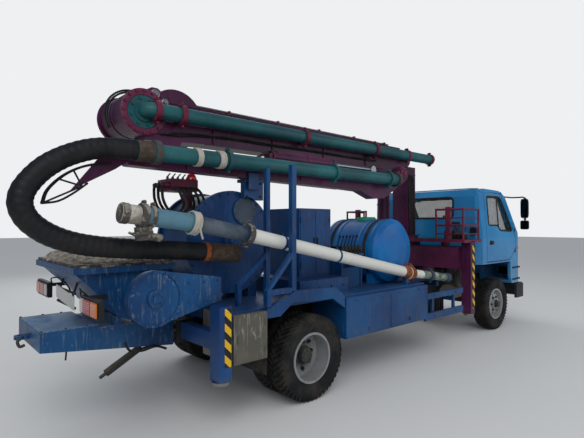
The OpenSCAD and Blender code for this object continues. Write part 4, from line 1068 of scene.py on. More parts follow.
class PUMP_OT_boom_pipe_clamps(bpy.types.Operator):
    """Couplings, flanges and brackets of the concrete pipe on the boom"""
    bl_idname = "pump.boom_pipe_clamps"
    bl_label = "Boom pipe clamps"

    def execute(self, context):
        y, z = PIPE_2
        second = Shape()
        # Lip of each coupling: low where section 3 passes when it unfolds
        for px, inner, lip in ((-1.225, PIPE_R, 0.024), (-0.98, PIPE_R + 0.009, 0.014),
                               (0.56, PIPE_R + 0.009, 0.014), (1.85, PIPE_R + 0.009, 0.014),
                               (2.60, PIPE_R + 0.009, 0.004), (3.205, PIPE_R, 0.012)):
            second.coupling((px, y, z), AHEAD, inner, 0.054, lip)
        second.piece("pipe_2_couplings", "boom_2", "pipe_teal", "platform_red")
        third = Shape()
        for px in (-0.70, 0.70, 1.70):
            third.coupling((px, PIPE_3_Y, PIPE_3_Z), AHEAD, PIPE_R + 0.011, 0.044, 0.010)
        third.piece("pipe_3_couplings", "boom_3", "pipe_teal", "pipe_teal")
        flange = Shape()
        flange.hoop([(PIPE_R, -0.028), (0.094, -0.028), (0.098, -0.022), (0.098, 0.022), (0.094, 0.028),
                     (PIPE_R, 0.028)], (-1.382, PIPE_3_Y, PIPE_3_Z), AHEAD, 44)
        flange.bolt_circle(6, 0.084, (-1.354, PIPE_3_Y, PIPE_3_Z), AHEAD, 0.008, 0.010, 0.3)
        flange.hoop([(PIPE_R, -0.022), (0.092, -0.022), (0.092, 0.022), (PIPE_R, 0.022)],
                    (1.862, PIPE_3_Y, PIPE_3_Z), AHEAD, 44)
        flange.piece("pipe_3_flanges", "boom_3", "pipe_teal", "hub_dark")
        rags = Shape()
        for px, wide in ((-1.012, 0.050), (-0.785, 0.062)):
            count = 9
            folds = [(PIPE_R + 0.009 + 0.003 * sin(i * 2.4), -wide / 2 + wide * i / count)
                     for i in range(count + 1)]
            profile = [(PIPE_R, -wide / 2)] + folds + [(PIPE_R, wide / 2), (PIPE_R, -wide / 2)]
            rags.turned(profile, (px, PIPE_3_Y, PIPE_3_Z), (1, 0.03, 0.06), 36)
        rags.piece("pipe_3_rags", "boom_3", "hose_rubber", "rag_white")
        # Winged bracket that carries the pipe on section 2
        wings = Shape()
        for px in (0.56, 1.85):
            wings.plate([(px - 0.19, 2.594), (px + 0.19, 2.594),
                         (px + 0.03, 2.648), (px - 0.03, 2.648)], 1, -0.276, -0.264)
        wings.piece("pipe_2_brackets", "boom_2", "boom_plum", "boom_plum_highlight")
        return {"FINISHED"}


class PUMP_OT_boom_hoses(bpy.types.Operator):
    """Hydraulic hoses and steel lines that run along the boom"""
    bl_idname = "pump.boom_hoses"
    bl_label = "Boom hoses"

    def execute(self, context):
        x, z = ELBOW
        first = Shape()
        # Steel lines on the top of section 1, held by small saddles
        for y in (0.050, 0.085, 0.120):
            first.bar((-1.02, y, 2.882), (2.70, y, 2.872), 0.010, 10)
        first.piece("boom_1_lines", "boom_1", "pipe_teal", "steel")
        saddles = Shape()
        for px in (-0.9, -0.2, 0.5, 1.2, 1.9, 2.6):
            saddles.block((px - 0.015, 0.030, 2.846), (px + 0.015, 0.140, 2.896), 0.004)
        saddles.piece("boom_1_saddles", "boom_1", "boom_plum", "boom_plum_highlight")
        # Hoses that loop round the outside of the elbow drum, wide enough for the fold
        loops = Shape()
        for i, radius in enumerate((0.226, 0.246)):
            y = LANE_1[0] - 0.016 + i * 0.004
            arc = [(x + cos(t) * radius, y, z + sin(t) * radius)
                   for t in (radians(62 + 10 * k) for k in range(16))]
            start = [(x + 0.40, 0.03, z + 0.236 + i * 0.02), (x + 0.25, 0.0, z + 0.235 + i * 0.02)]
            loops.sweep(smooth_path(start + arc, 4), 0.0095, 10)
        loops.piece("elbow_hoses", "boom_1", "hose_rubber", "hydraulic")
        second = Shape()
        for i, px in enumerate((-1.16, -1.12)):
            y = LANE_2[0] - 0.014 - 0.018 * i
            points = [(px, y, 2.47), (-0.98, y - 0.004, 2.475 + 0.02 * i),
                      (-0.74, y, 2.50 + 0.012 * i), (-0.35, y, 2.515 + 0.012 * i),
                      (0.15, y, 2.512 + 0.012 * i), (0.75, y, 2.516 + 0.012 * i),
                      (1.30, y, 2.512 + 0.012 * i), (1.95, y, 2.515 + 0.012 * i)]
            second.sweep(smooth_path(points, 8), 0.0085, 10)
        second.piece("boom_2_hoses", "boom_2", "hose_rubber", "hydraulic")
        third = Shape()
        for i in range(2):
            lift = 0.022 * i
            points = [(0.02, -0.52 + lift, 2.405), (-0.10, -0.515 + lift, 2.40),
                      (-0.22, -0.52 + lift, 2.33), (-0.40, -0.53 + lift, 2.296),
                      (-0.90, -0.53 + lift, 2.292), (-1.40, -0.53 + lift, 2.292)]
            third.sweep(smooth_path(points, 8), 0.0095, 10)
        third.piece("boom_3_hoses", "boom_3", "hose_rubber", "hydraulic")
        return {"FINISHED"}


# Rear end

LAMP_X = -1.886
LAMP_Z = (0.994, 1.106)


class PUMP_OT_tail(bpy.types.Operator):
    """Lamp lenses, blank number plate, chequer plates, tail irons, strut and cables"""
    bl_idname = "pump.tail"
    bl_label = "Tail"

    def execute(self, context):
        # Lens segments of each lamp from the middle outwards
        for label, low_y, high_y in (("white", 0.498, 0.566), ("red", 0.572, 0.734), ("amber", 0.740, 0.860)):
            item = f"{label}_lens"
            lens_piece = Shape()
            lens_piece.block((LAMP_X - 0.010, low_y, LAMP_Z[0] + 0.004),
                             (LAMP_X + 0.004, high_y, LAMP_Z[1] - 0.004), 0.006)
            for i in range(6):
                edge = LAMP_Z[0] + 0.014 + i * 0.0165
                lens_piece.block((LAMP_X - 0.0125, low_y + 0.006, edge),
                                 (LAMP_X - 0.008, high_y - 0.006, edge + 0.004), 0.001)
            lens_piece.both().piece(f"lamp_lens_{label}", "truck", "lamp_red", item)
        plate = Shape()
        plate.block((-1.868, -0.262, 0.990), (-1.862, 0.258, 1.102), 0.003)
        # It hangs a little askew
        for v in plate.mesh.verts:
            v.co.z += v.co.y * 0.10
        plate.piece("number_plate", "truck", "rim_silver", "plate_white")
        hanger = Shape()
        hanger.block((-1.862, -0.270, 0.975), (-1.852, 0.266, 0.995), 0.002)
        hanger.block((-1.862, -0.270, 1.090), (-1.852, 0.266, 1.112), 0.002)
        for y in (-0.20, 0.20):
            hanger.bar((-1.853, y, 1.09), (-1.790, y, 1.282), 0.009, 8)
            hanger.bar((-1.857, y, 0.985), (-1.857, y, 1.10), 0.009, 8)
        hanger.piece("plate_hanger", "truck", "deck_blue", "chassis_black")
        step = Shape()
        step.block((-2.126, -0.366, 0.848), (-1.714, 0.366, 0.853), 0.001)
        step.block((-1.706, -0.366, 0.820), (-1.240, 0.366, 0.825), 0.001)
        step.piece("step_chequer", "truck", "deck_blue", "chequer")
        irons = Shape()
        for px in (-2.12, -1.95, -1.80):
            for y in (-0.358, 0.358):
                irons.bolt((px, y, 0.853), UP, 0.009, 0.007)
        irons.bent_tube([(-2.19, -0.036, 0.76), (-2.215, -0.05, 0.74), (-2.20, -0.05, 0.70),
                         (-2.165, -0.045, 0.705)], 5, 0.012, 10)
        irons.piece("tail_irons", "truck", "deck_blue", "hub_dark")
        strut = Shape()
        strut.bar((-1.36, -0.34, 0.600), (-1.66, -0.39, 0.460), 0.030, 20)
        strut.bar((-1.65, -0.388, 0.465), (-1.71, -0.40, 0.437), 0.014, 12)
        strut.bent_tube([(-1.50, -0.37, 0.67), (-1.46, -0.38, 0.60), (-1.36, -0.39, 0.585),
                         (-1.24, -0.39, 0.60), (-1.14, -0.38, 0.56)], 8, 0.011, 10)
        strut.bent_tube([(-1.42, -0.30, 0.67), (-1.36, -0.31, 0.59), (-1.26, -0.33, 0.60),
                         (-1.20, -0.34, 0.67)], 8, 0.008, 10)
        strut.bar((-1.90, -0.20, 0.68), (-1.915, -0.22, 0.575), 0.007, 8)
        strut.piece("tail_strut", "truck", "chassis_black", "chassis_black")
        wires = Shape()
        wires.bent_tube([(-1.84, 0.52, 1.11), (-1.86, 0.45, 1.16), (-1.82, 0.35, 1.17), (-1.78, 0.28, 1.12),
                         (-1.74, 0.22, 1.02)], 8, 0.006, 8)
        wires.bent_tube([(-1.84, -0.52, 1.11), (-1.87, -0.44, 1.15), (-1.84, -0.33, 1.14),
                         (-1.80, -0.25, 1.05), (-1.70, -0.18, 0.98)], 8, 0.006, 8)
        wires.piece("tail_wires", "truck", "hose_rubber", "hydraulic")
        return {"FINISHED"}


PUMP_SHAFT = (-1.460, 1.090)
COVER_Y = -0.860
BEARING_Y = 0.500
GRATE_Z = 1.352
GRATE_BARS_Y = (-0.54, -0.42, -0.30, -0.18, -0.06, 0.06, 0.18, 0.30, 0.42, 0.54)


class PUMP_OT_hopper_fittings(bpy.types.Operator):
    """Chain cover bolts, agitator bearing and concrete set on grate and tray"""
    bl_idname = "pump.hopper_fittings"
    bl_label = "Hopper fittings"

    def execute(self, context):
        cover = Shape()
        face = COVER_Y
        shaft_x, shaft_z = PUMP_SHAFT
        cover.hoop([(0.196, 0.0), (0.214, 0.0), (0.214, -0.010), (0.196, -0.010)], (shaft_x, face, shaft_z),
                   LEFT, 56)
        cover.bolt_circle(12, 0.205, (shaft_x, face - 0.010, shaft_z), RIGHT, 0.009, 0.009, 0.13)
        cover.cap([(0.066, 0.0), (0.066, -0.018), (0.056, -0.024), (0.030, -0.024), (0.030, -0.036)],
                  (shaft_x, face, shaft_z), LEFT, 36)
        cover.bolt_circle(6, 0.045, (shaft_x, face - 0.024, shaft_z), RIGHT, 0.007, 0.008, 0.2)
        cover.bolts([(px, face, pz) for px in (-1.18, -1.04, -0.91) for pz in (1.035, 1.185)], RIGHT, 0.009,
                    0.009)
        cover.piece("chain_cover_bolts", "truck", "deck_blue", "hopper_blue")
        bearing = Shape()
        bearing.cap([(0.075, 0.0), (0.075, 0.022), (0.050, 0.040)], (shaft_x, BEARING_Y, shaft_z), LEFT, 36)
        bearing.bolt_circle(6, 0.060, (shaft_x, BEARING_Y + 0.022, shaft_z), LEFT, 0.008, 0.010, 0.2)
        bearing.piece("agitator_bearing", "truck", "deck_blue", "hopper_blue")
        # Concrete set in heaps on the grate bars and the tray's rim
        cake = Shape()
        rng = random.Random(7)
        for k in range(46):
            px = rng.uniform(-1.93, -1.21)
            py = rng.choice(GRATE_BARS_Y) + rng.uniform(-0.012, 0.012)
            self.heap(cake, (px, py, GRATE_Z), rng.uniform(0.020, 0.042), rng.uniform(0.010, 0.026), rng)
        for k in range(12):
            self.heap(cake, (rng.uniform(-1.90, -1.60), rng.uniform(-0.30, 0.50), GRATE_Z),
                      rng.uniform(0.045, 0.062), rng.uniform(0.026, 0.042), rng)
        for px, py, radius, height in ((-1.770, 0.380, 0.105, 0.066), (-1.760, 0.210, 0.115, 0.058),
                                       (-1.690, 0.060, 0.095, 0.040)):
            self.heap(cake, (px, py, GRATE_Z), radius, height, rng)
        cake.piece("grate_concrete", "hopper_grate", "grate_steel", "concrete", angle=70)
        rim = Shape()
        for k in range(22):
            side = rng.choice((-1, 1))
            px = rng.uniform(-1.93, -1.18)
            self.heap(rim, (px, side * 0.568, 1.330), rng.uniform(0.014, 0.024),
                      rng.uniform(0.008, 0.018), rng)
        rim.piece("tray_concrete", "truck", "deck_blue", "concrete", angle=70)
        return {"FINISHED"}

    @staticmethod
    def heap(shape, middle, radius, height, rng):
        """Low uneven lump, seated on the surface under it."""
        middle = Vector(middle)
        seed = Vector((rng.uniform(0, 50), 0, 0))
        rings = []
        for share, lift in ((1.0, -0.15), (0.93, 0.35), (0.68, 0.78), (0.32, 0.98)):
            ring = []
            for k in range(14):
                t = 2 * pi * k / 14
                bumpy = 1 + 0.28 * noise.noise(seed + Vector((cos(t) * 1.3, sin(t) * 1.3, share)))
                ring.append(middle + Vector((cos(t) * radius * share * bumpy * 1.5,
                                             sin(t) * radius * share * bumpy, height * lift * bumpy)))
            rings.append(shape.ring(ring))
        shape.skin(rings)


class PUMP_OT_leg_stripes(bpy.types.Operator):
    """Warning stripes on the outer faces of the legs"""
    bl_idname = "pump.leg_stripes"
    bl_label = "Leg stripes"

    def execute(self, context):
        legs = (("rear", -0.987, "truck", 0.52, 0.985, (1, -1)),
                ("front_left", 3.103, "beam_left", 0.48, 1.36, (1,)),
                ("front_right", 3.103, "beam_right", 0.48, 1.36, (-1,)))
        for name, low_x, body, low_z, high_z, signs in legs:
            sheet = Shape()
            for sign in signs:
                sheet.block(*span((low_x, SIDE_Y * sign, low_z),
                                  (low_x + 0.060, (SIDE_Y + 0.002) * sign, high_z)))
            sheet.piece(f"{name}_leg_stripes", body, "boom_plum", "stripes")
        return {"FINISHED"}


# Pump and body

DRUM = (-0.525, 1.485)
DRUM_Y = (-0.500, 0.100)
DRUM_BOLT_R = 0.462
DELIVERY_Y = -0.930
DELIVERY = [(-1.760, 1.735), (-1.180, 1.662), (-0.660, 1.565), (1.770, 1.060), (2.720, 0.925)]
BARREL = (1.660, 1.332)
BARREL_R = 0.385


class PUMP_OT_drum_fittings(bpy.types.Operator):
    """Inspection cover and bolted flanges of the pump drum, and pad of the boom rest"""
    bl_idname = "pump.drum_fittings"
    bl_label = "Drum fittings"

    def execute(self, context):
        x, z = DRUM
        face = DRUM_Y[0]
        cover = Shape()
        cx, cz = x + 0.135, z + 0.297
        cover.cap([(0.131, 0.0), (0.131, -0.005), (0.124, -0.008), (0.104, -0.008), (0.098, -0.004)],
                  (cx, face - 0.012, cz), LEFT, 56)
        cover.bolt_circle(10, 0.115, (cx, face - 0.020, cz), RIGHT, 0.0085, 0.009, 0.2)
        cover.piece("drum_cover", "truck", "deck_blue", "drum_grey")
        rim = Shape()
        low, high = radians(-60), radians(240)
        circle = [(x + DRUM_BOLT_R * cos(t), z + DRUM_BOLT_R * sin(t))
                  for t in (low + (high - low) * k / 27 for k in range(28))]
        # None under the inspection cover or behind the deck
        rim.bolts([(px, face, pz) for px, pz in circle if hypot(px - cx, pz - cz) > 0.16 and pz > 1.02],
                  RIGHT, 0.012, 0.012)
        for y in (face, DRUM_Y[1] - 0.040):
            rim.hoop([(0.484, 0.0), (0.489, 0.004), (0.489, 0.036), (0.484, 0.040)], (x, y, z), LEFT, 72)
        rim.bolts([(px, DRUM_Y[1], pz) for px, pz in circle], LEFT, 0.012, 0.012)
        rim.bolt_circle(8, 0.092, (x, face - 0.030, z), RIGHT, 0.009, 0.010)
        rim.cap([(0.052, 0.0), (0.052, -0.026), (0.044, -0.034)], (x, face - 0.030, z), LEFT, 36)
        rim.piece("drum_bolts", "truck", "deck_blue", "drum_blue")
        rest = Shape()
        for px in (-0.395, -0.235):
            rest.bolts([(px, -0.560, pz) for pz in (1.925, 2.055)], RIGHT, 0.010, 0.010)
        rest.block((-0.428, -0.568, 2.060), (-0.202, -0.446, 2.0895), 0.004)
        rest.piece("boom_rest_pad", "truck", "deck_blue", "black_rubber")
        return {"FINISHED"}


class PUMP_OT_valve_fittings(bpy.types.Operator):
    """Unions, hoses and manifold of the valve block behind the drum, and red half of the beacon"""
    bl_idname = "pump.valve_fittings"
    bl_label = "Valve fittings"

    def execute(self, context):
        supply_y = (-0.300, -0.215, -0.130)
        spools_x = [-1.045 + i * 0.052 for i in range(5)]
        unions = Shape()
        for y in supply_y:
            unions.sweep([(-1.134, y, 2.015), (-1.152, y, 2.015)], 0.017, 6)
            unions.bar((-1.142, y, 2.015), (-1.142, y, 1.985), 0.010, 12)
        for px in spools_x:
            unions.sweep([(px, -0.330, 1.985), (px, -0.352, 1.985)], 0.014, 6)
            unions.bar((px, -0.200, 2.070), (px, -0.200, 2.098), 0.012, 12)
            unions.bar((px, -0.200, 2.098), (px + 0.01, -0.235, 2.125), 0.006, 8)
        unions.piece("valve_unions", "truck", "rim_silver", "hub_dark")
        hoses = Shape()
        for i, px in enumerate(spools_x):
            hoses.bent_tube([(px, -0.346, 1.985), (px + 0.01, -0.385, 1.972),
                             (px + 0.035, -0.395 - 0.006 * i, 1.915), (px + 0.075, -0.375, 1.835),
                             (px + 0.05, -0.335, 1.765), (px + 0.02, -0.25, 1.735)], 7, 0.0125, 10)
        for i, y in enumerate(supply_y):
            hoses.bent_tube([(-1.142, y, 2.000), (-1.144, y, 1.960), (-1.140, y - 0.01, 1.880),
                             (-1.095, y - 0.01, 1.795), (-1.010 + 0.02 * i, y, 1.740)], 8, 0.0130, 10)
        hoses.piece("valve_hoses", "truck", "hose_rubber", "hydraulic")
        manifold = Shape()
        manifold.block((-1.070, -0.36, 1.700), (-0.965, -0.09, 1.775), 0.006)
        manifold.block((-0.985, -0.30, 1.600), (-0.925, -0.15, 1.720), 0.006)
        manifold.piece("suction_manifold", "truck", "platform_red", "chassis_black")
        dome = Shape()
        x, y = -0.700, -0.020
        dome.hoop([(0.0542, 2.074), (0.0555, 2.078), (0.0555, 2.116), (0.050, 2.126), (0.0415, 2.150),
                   (0.024, 2.1635), (0.0, 2.167), (0.0, 2.120)], (x, y, 0.0), UP, 40)
        for v in list(dome.mesh.verts):
            if v.co.y > y + 0.004:
                dome.mesh.verts.remove(v)
        dome.piece("beacon_red_half", "truck", "lamp_red", "red_lens")
        return {"FINISHED"}


class PUMP_OT_delivery_fittings(bpy.types.Operator):
    """Couplings, end cap, rusty clamp and hangers of the delivery pipe"""
    bl_idname = "pump.delivery_fittings"
    bl_label = "Delivery fittings"

    def execute(self, context):
        points = [Vector((x, DELIVERY_Y, z)) for x, z in DELIVERY]
        ways = [(b - a).normalized() for a, b in zip(points, points[1:])]
        valve = Shape()
        valve.coupling(points[2], ways[2], 0.084, 0.050, 0.014)
        start = points[0] + ways[0] * 0.165
        valve.coupling(start, ways[0], 0.070, 0.052, 0.022)
        valve.coupling(points[0] + ways[0] * 0.235, ways[0], 0.070, 0.030, 0.016)
        # Bracket and scraper valve that hang under the first coupling, caked with concrete
        valve.bar(start + Vector((0, 0, -0.080)), start + Vector((0.01, 0, -0.175)), 0.058, 20)
        valve.bar(start + Vector((0.004, 0, -0.115)), start + Vector((0.006, 0, -0.135)), 0.074, 20)
        valve.bar(start + Vector((0.05, 0.0, -0.150)), start + Vector((0.155, 0.03, -0.165)), 0.030, 14)
        valve.bar(start + Vector((-0.04, -0.02, -0.150)), start + Vector((-0.115, -0.045, -0.120)), 0.009, 8)
        valve.piece("delivery_start_valve", "truck", "rim_silver", "caked_steel")
        cap = Shape()
        front = points[0]
        cap.hoop([(0.0, -0.004), (0.052, -0.004), (0.066, 0.0), (0.076, 0.010), (0.076, 0.052),
                  (0.0702, 0.056), (0.0702, 0.012), (0.0, 0.012)], front, ways[0], 40)
        cap.piece("delivery_end_cap", "truck", "pipe_white", "caked_steel")
        rag = Shape()
        profile = [(0.084, -0.034)] + [(0.093 + 0.004 * sin(i * 2.1), -0.034 + 0.0085 * i)
                                       for i in range(9)]
        rag.turned(profile + [(0.084, 0.034), (0.084, -0.034)], points[1], ways[1], 34)
        rag.bar(points[1] + Vector((0.0, -0.088, -0.02)), points[1] + Vector((0.028, -0.092, -0.125)),
                0.008, 8)
        rag.piece("delivery_rag", "truck", "pipe_white", "rag_white")
        rusty_clamp = Shape()
        middle = points[3]
        rusty_clamp.hoop([(0.063, -0.13), (0.073, -0.13), (0.075, -0.125), (0.075, -0.02), (0.063, -0.02)],
                         middle, ways[2], 36)
        rusty_clamp.hoop([(0.0525, 0.02), (0.074, 0.02), (0.074, 0.075), (0.070, 0.085), (0.0525, 0.085)],
                         middle, ways[3], 36)
        rusty_clamp.coupling(middle, ways[2], 0.084, 0.046, 0.012)
        for sign in (-1, 1):
            rusty_clamp.sweep(smooth_path([middle + Vector((-0.10, 0.03 * sign, 0.06)), middle + Vector(
                (-0.02, 0.05 * sign, 0.095)), middle + Vector((0.07, 0.03 * sign, 0.045))], 5), 0.010, 8)
        rusty_clamp.piece("delivery_rusty_clamp", "truck", "pipe_white", "clamp_orange")
        ends = Shape()
        ends.coupling(points[3] + ways[3] * 0.48, ways[3], 0.052, 0.060, 0.018)
        last = points[4]
        ends.hoop([(0.052, -0.10), (0.060, -0.10), (0.062, -0.09), (0.062, -0.02), (0.060, -0.012),
                   (0.052, -0.012)], last, ways[3], 32)
        ends.piece("delivery_far_coupling", "truck", "pipe_white", "drum_grey")
        plug = Shape()
        plug.hoop([(0.0, -0.02), (0.0455, -0.02), (0.0455, 0.0), (0.040, 0.018), (0.026, 0.034),
                   (0.0, 0.038)], last, ways[3], 32)
        plug.piece("delivery_plug", "truck", "pipe_white", "plate_white")
        hangers = Shape()
        for k in (0.165, 0.47):
            place = points[2].lerp(points[3], k)
            hangers.hoop([(0.0632, -0.012), (0.068, -0.012), (0.068, 0.012), (0.0632, 0.012)], place,
                         ways[2], 32)
            hangers.bar(place + Vector((0, 0.0, 0.066)), place + Vector((0, 0.0, 0.092)), 0.010, 6)
        hangers.piece("delivery_hangers", "truck", "deck_blue", "deck_blue")
        return {"FINISHED"}


class PUMP_OT_deck_fittings(bpy.types.Operator):
    """Cabinet doors, lever bank, barrel bands and lid, and doors of skirts and side boxes"""
    bl_idname = "pump.deck_fittings"
    bl_label = "Deck fittings"

    def execute(self, context):
        doors = Shape()
        y = -0.590
        for low_x, high_x, hinge_x in ((0.275, 0.495, 0.281), (0.505, 0.725, 0.719)):
            doors.block((low_x, y - 0.005, 1.110), (high_x, y, 1.805), 0.003)
            for z in (1.22, 1.70):
                doors.bar((hinge_x, y - 0.007, z - 0.03), (hinge_x, y - 0.007, z + 0.03), 0.007, 10)
        for i in range(6):
            doors.block((0.31, y - 0.009, 1.60 + i * 0.024), (0.46, y - 0.004, 1.609 + i * 0.024), 0.001)
        doors.piece("cabinet_doors", "truck", "deck_blue", "drum_blue")
        handles = Shape()
        for px in (0.475, 0.525):
            handles.block((px - 0.008, y - 0.016, 1.43), (px + 0.008, y - 0.005, 1.51), 0.003)
        handles.bolts([(px, -0.850, 1.01) for px in (0.12, 0.30, 0.48, 0.66)], RIGHT, 0.009, 0.008)
        handles.piece("cabinet_handles", "truck", "trim_dark", "black_plastic")
        # Lever bank on a pedestal between the cabinet and the barrel
        stand = Shape()
        stand.block((0.80, -0.70, 0.935), (0.835, -0.46, 1.30), 0.003)
        stand.block((1.13, -0.70, 0.935), (1.165, -0.46, 1.30), 0.003)
        stand.block((0.79, -0.72, 1.295), (1.175, -0.44, 1.315), 0.003)
        stand.block((0.835, -0.69, 0.935), (1.130, -0.68, 1.160), 0.003)
        stand.piece("lever_stand", "truck", "deck_blue", "deck_blue")
        bank = Shape()
        for i in range(6):
            px = 0.815 + i * 0.058
            bank.block((px, -0.690, 1.315), (px + 0.050, -0.500, 1.405), 0.004)
            bank.bar((px + 0.025, -0.600, 1.400), (px + 0.025, -0.640, 1.505), 0.006, 8)
            bank.bar((px + 0.025, -0.638, 1.500), (px + 0.025, -0.648, 1.528), 0.012, 12)
            bank.sweep([(px + 0.025, -0.690, 1.350), (px + 0.025, -0.715, 1.350)], 0.014, 6)
        bank.block((1.150, -0.680, 1.320), (1.172, -0.510, 1.395), 0.004)
        bank.piece("lever_bank", "truck", "trim_dark", "black_plastic")
        x, z = BARREL
        ribs = Shape()
        for y in (-0.72, -0.54, -0.18, 0.0):
            ribs.hoop([(BARREL_R - 0.002, -0.026), (BARREL_R + 0.004, -0.018), (BARREL_R + 0.006, 0.0),
                       (BARREL_R + 0.004, 0.018), (BARREL_R - 0.002, 0.026)], (x, y, z), LEFT, 72)
        ribs.cap([(0.050, 0.0), (0.050, -0.024), (0.040, -0.030)], (x, -0.848, z - 0.25), LEFT, 28)
        ribs.piece("barrel_ribs", "truck", "barrel_blue", "barrel_blue")
        bands = Shape()
        for y in (-0.63, -0.09):
            arc = [Vector((x + (BARREL_R + 0.003) * cos(t), y, z + (BARREL_R + 0.003) * sin(t)))
                   for t in (radians(-42 + 6 * k) for k in range(45))]
            self.band(bands, arc, Vector((x, y, z)), 0.022)
        bands.piece("barrel_bands", "truck", "trim_dark", "black_rubber")
        lid = Shape()
        top = Vector((x, -0.36, z + BARREL_R))
        lid.hoop([(0.0, 0.012), (0.040, 0.014), (0.045, 0.026), (0.060, 0.028), (0.112, 0.024),
                  (0.122, 0.016), (0.124, -0.016), (0.116, -0.020), (0.0, -0.020)], top, UP, 48)
        for k in range(18):
            t = 2 * pi * k / 18
            out = Vector((cos(t), sin(t), 0))
            lid.bar(top + out * 0.123 + Vector((0, 0, -0.012)), top + out * 0.123 + Vector((0, 0, 0.014)),
                    0.006, 6)
        lid.piece("barrel_lid", "truck", "barrel_blue", "lid_green")
        # Door seams, rain strip, hinges and latches of the skirt
        seams = Shape()
        for x in (0.46, 1.195, 1.205, 1.94):
            seams.block((x - 0.002, SIDE_Y, 0.510), (x + 0.002, SIDE_Y + 0.002, 0.900))
        seams.block((0.455, SIDE_Y, 0.880), (1.945, SIDE_Y + 0.004, 0.908), 0.001)
        for x in (0.62, 1.02, 1.38, 1.78):
            seams.bar((x - 0.035, SIDE_Y + 0.005, 0.880), (x + 0.035, SIDE_Y + 0.005, 0.880), 0.007, 10)
        for x in (0.82, 1.58):
            seams.block((x - 0.02, SIDE_Y, 0.535), (x + 0.02, SIDE_Y + 0.008, 0.575), 0.003)
        seams.both().piece("skirt_doors", "truck", "deck_blue", "deck_blue")
        box = Shape()
        box.block((-0.885, SIDE_Y, 0.535), (-0.575, SIDE_Y + 0.004, 0.895), 0.002)
        for z in (0.60, 0.83):
            box.bar((-0.585, SIDE_Y + 0.006, z - 0.03), (-0.585, SIDE_Y + 0.006, z + 0.03), 0.006, 10)
        box.block((-0.87, SIDE_Y, 0.69), (-0.85, SIDE_Y + 0.012, 0.75), 0.003)
        box.both().piece("side_box_doors", "truck", "box_grey", "box_grey")
        return {"FINISHED"}

    @staticmethod
    def band(shape, arc, centre, half):
        """Flat strap that follows an arc round a centre."""
        rings = []
        for p in arc:
            out = (p - centre).normalized() * 0.004
            rings.append(shape.ring([p + Vector((0, -half, 0)), p + Vector((0, half, 0)),
                                     p + out + Vector((0, half, 0)), p + out + Vector((0, -half, 0))]))
        shape.skin(rings)


class PUMP_OT_mast_fittings(bpy.types.Operator):
    """Mast bolts and hoses, cylinder rings, and treads, levers and bars of the platforms"""
    bl_idname = "pump.mast_fittings"
    bl_label = "Mast fittings"

    def execute(self, context):
        bolts = Shape()
        x, y = 3.100, 0.040
        bolts.bolts([p for p in spread(18, 0.234, (x, y, 1.4845), FROM_ABOVE, 0.1)
                     if p.y < y - 0.14 or p.y > y + 0.14], UP, 0.012, 0.012)
        for z in (1.60, 2.42):
            bolts.block((2.978, -0.095, z), (3.227, 0.175, z + 0.014), 0.003)
        bolts.piece("mast_bolts", "truck", "boom_plum", "boom_plum")
        hoses = Shape()
        py = -0.102
        for i in range(4):
            px = 3.030 + i * 0.042
            hoses.bent_tube([(px, py, 1.50), (px, py - 0.012, 1.62), (px, py - 0.004, 1.95),
                             (px - 0.004, py - 0.004, 2.22), (px - 0.03, py - 0.012, 2.36),
                             (px - 0.09, py - 0.006, 2.42), (px - 0.13, py + 0.03, 2.40)], 8, 0.0110, 10)
        hoses.piece("mast_hoses", "truck", "hose_rubber", "hydraulic")
        luff = Shape()
        for z in (1.618, 1.945, 2.125):
            luff.hoop([(0.0905, 0.0), (0.098, 0.002), (0.098, 0.022), (0.0905, 0.024)], (2.660, 0.110, z),
                      UP, 44)
        luff.bar((2.660, 0.016, 1.66), (2.660, -0.010, 1.66), 0.016, 6)
        luff.bar((2.640, 0.005, 1.66), (2.640, 0.005, 2.08), 0.009, 10)
        luff.piece("luff_cylinder_rings", "truck", "boom_plum", "boom_plum")
        fold = Shape()
        for px in (-0.062, 0.44, 0.858):
            fold.hoop([(0.0555, 0.0), (0.062, 0.002), (0.062, 0.020), (0.0555, 0.022)], (px, -0.505, 2.345),
                      AHEAD, 36)
        fold.bar((0.0, -0.505, 2.402), (0.82, -0.505, 2.402), 0.008, 10)
        fold.piece("fold_cylinder_rings", "boom_3", "boom_plum", "boom_plum_highlight")
        tread = Shape()
        for low_x, high_x, low_y, high_y in ((2.890, 3.370, -1.070, -0.270), (2.890, 3.370, 0.300, 0.900)):
            tread.block((low_x, low_y, 1.4400), (high_x, high_y, 1.4440), 0.001)
        tread.piece("platform_tread", "truck", "platform_red", "chassis_black")
        bank = Shape()
        bank.block((3.010, -0.860, 1.444), (3.290, -0.700, 1.560), 0.006)
        for i in range(6):
            px = 3.035 + i * 0.046
            bank.bar((px, -0.780, 1.556), (px, -0.800, 1.665), 0.006, 8)
            bank.bar((px, -0.799, 1.660), (px, -0.804, 1.690), 0.013, 12)
        bank.bar((3.15, -0.930, 1.444), (3.15, -0.930, 1.520), 0.055, 20)
        bank.piece("platform_levers", "truck", "trim_dark", "black_plastic")
        bars = Shape()
        bars.bolts([(2.885, -0.825, z) for z in (1.50, 1.84)], BACK, 0.010, 0.010)
        for z in (1.52, 1.745):
            bars.bar((2.900, -1.050, z), (3.350, -1.050, z), 0.009, 10)
            bars.bar((2.900, -1.050, z), (2.900, -0.640, z), 0.009, 10)
        bars.both().piece("platform_bars", "truck", "platform_red", "platform_red")
        return {"FINISHED"}


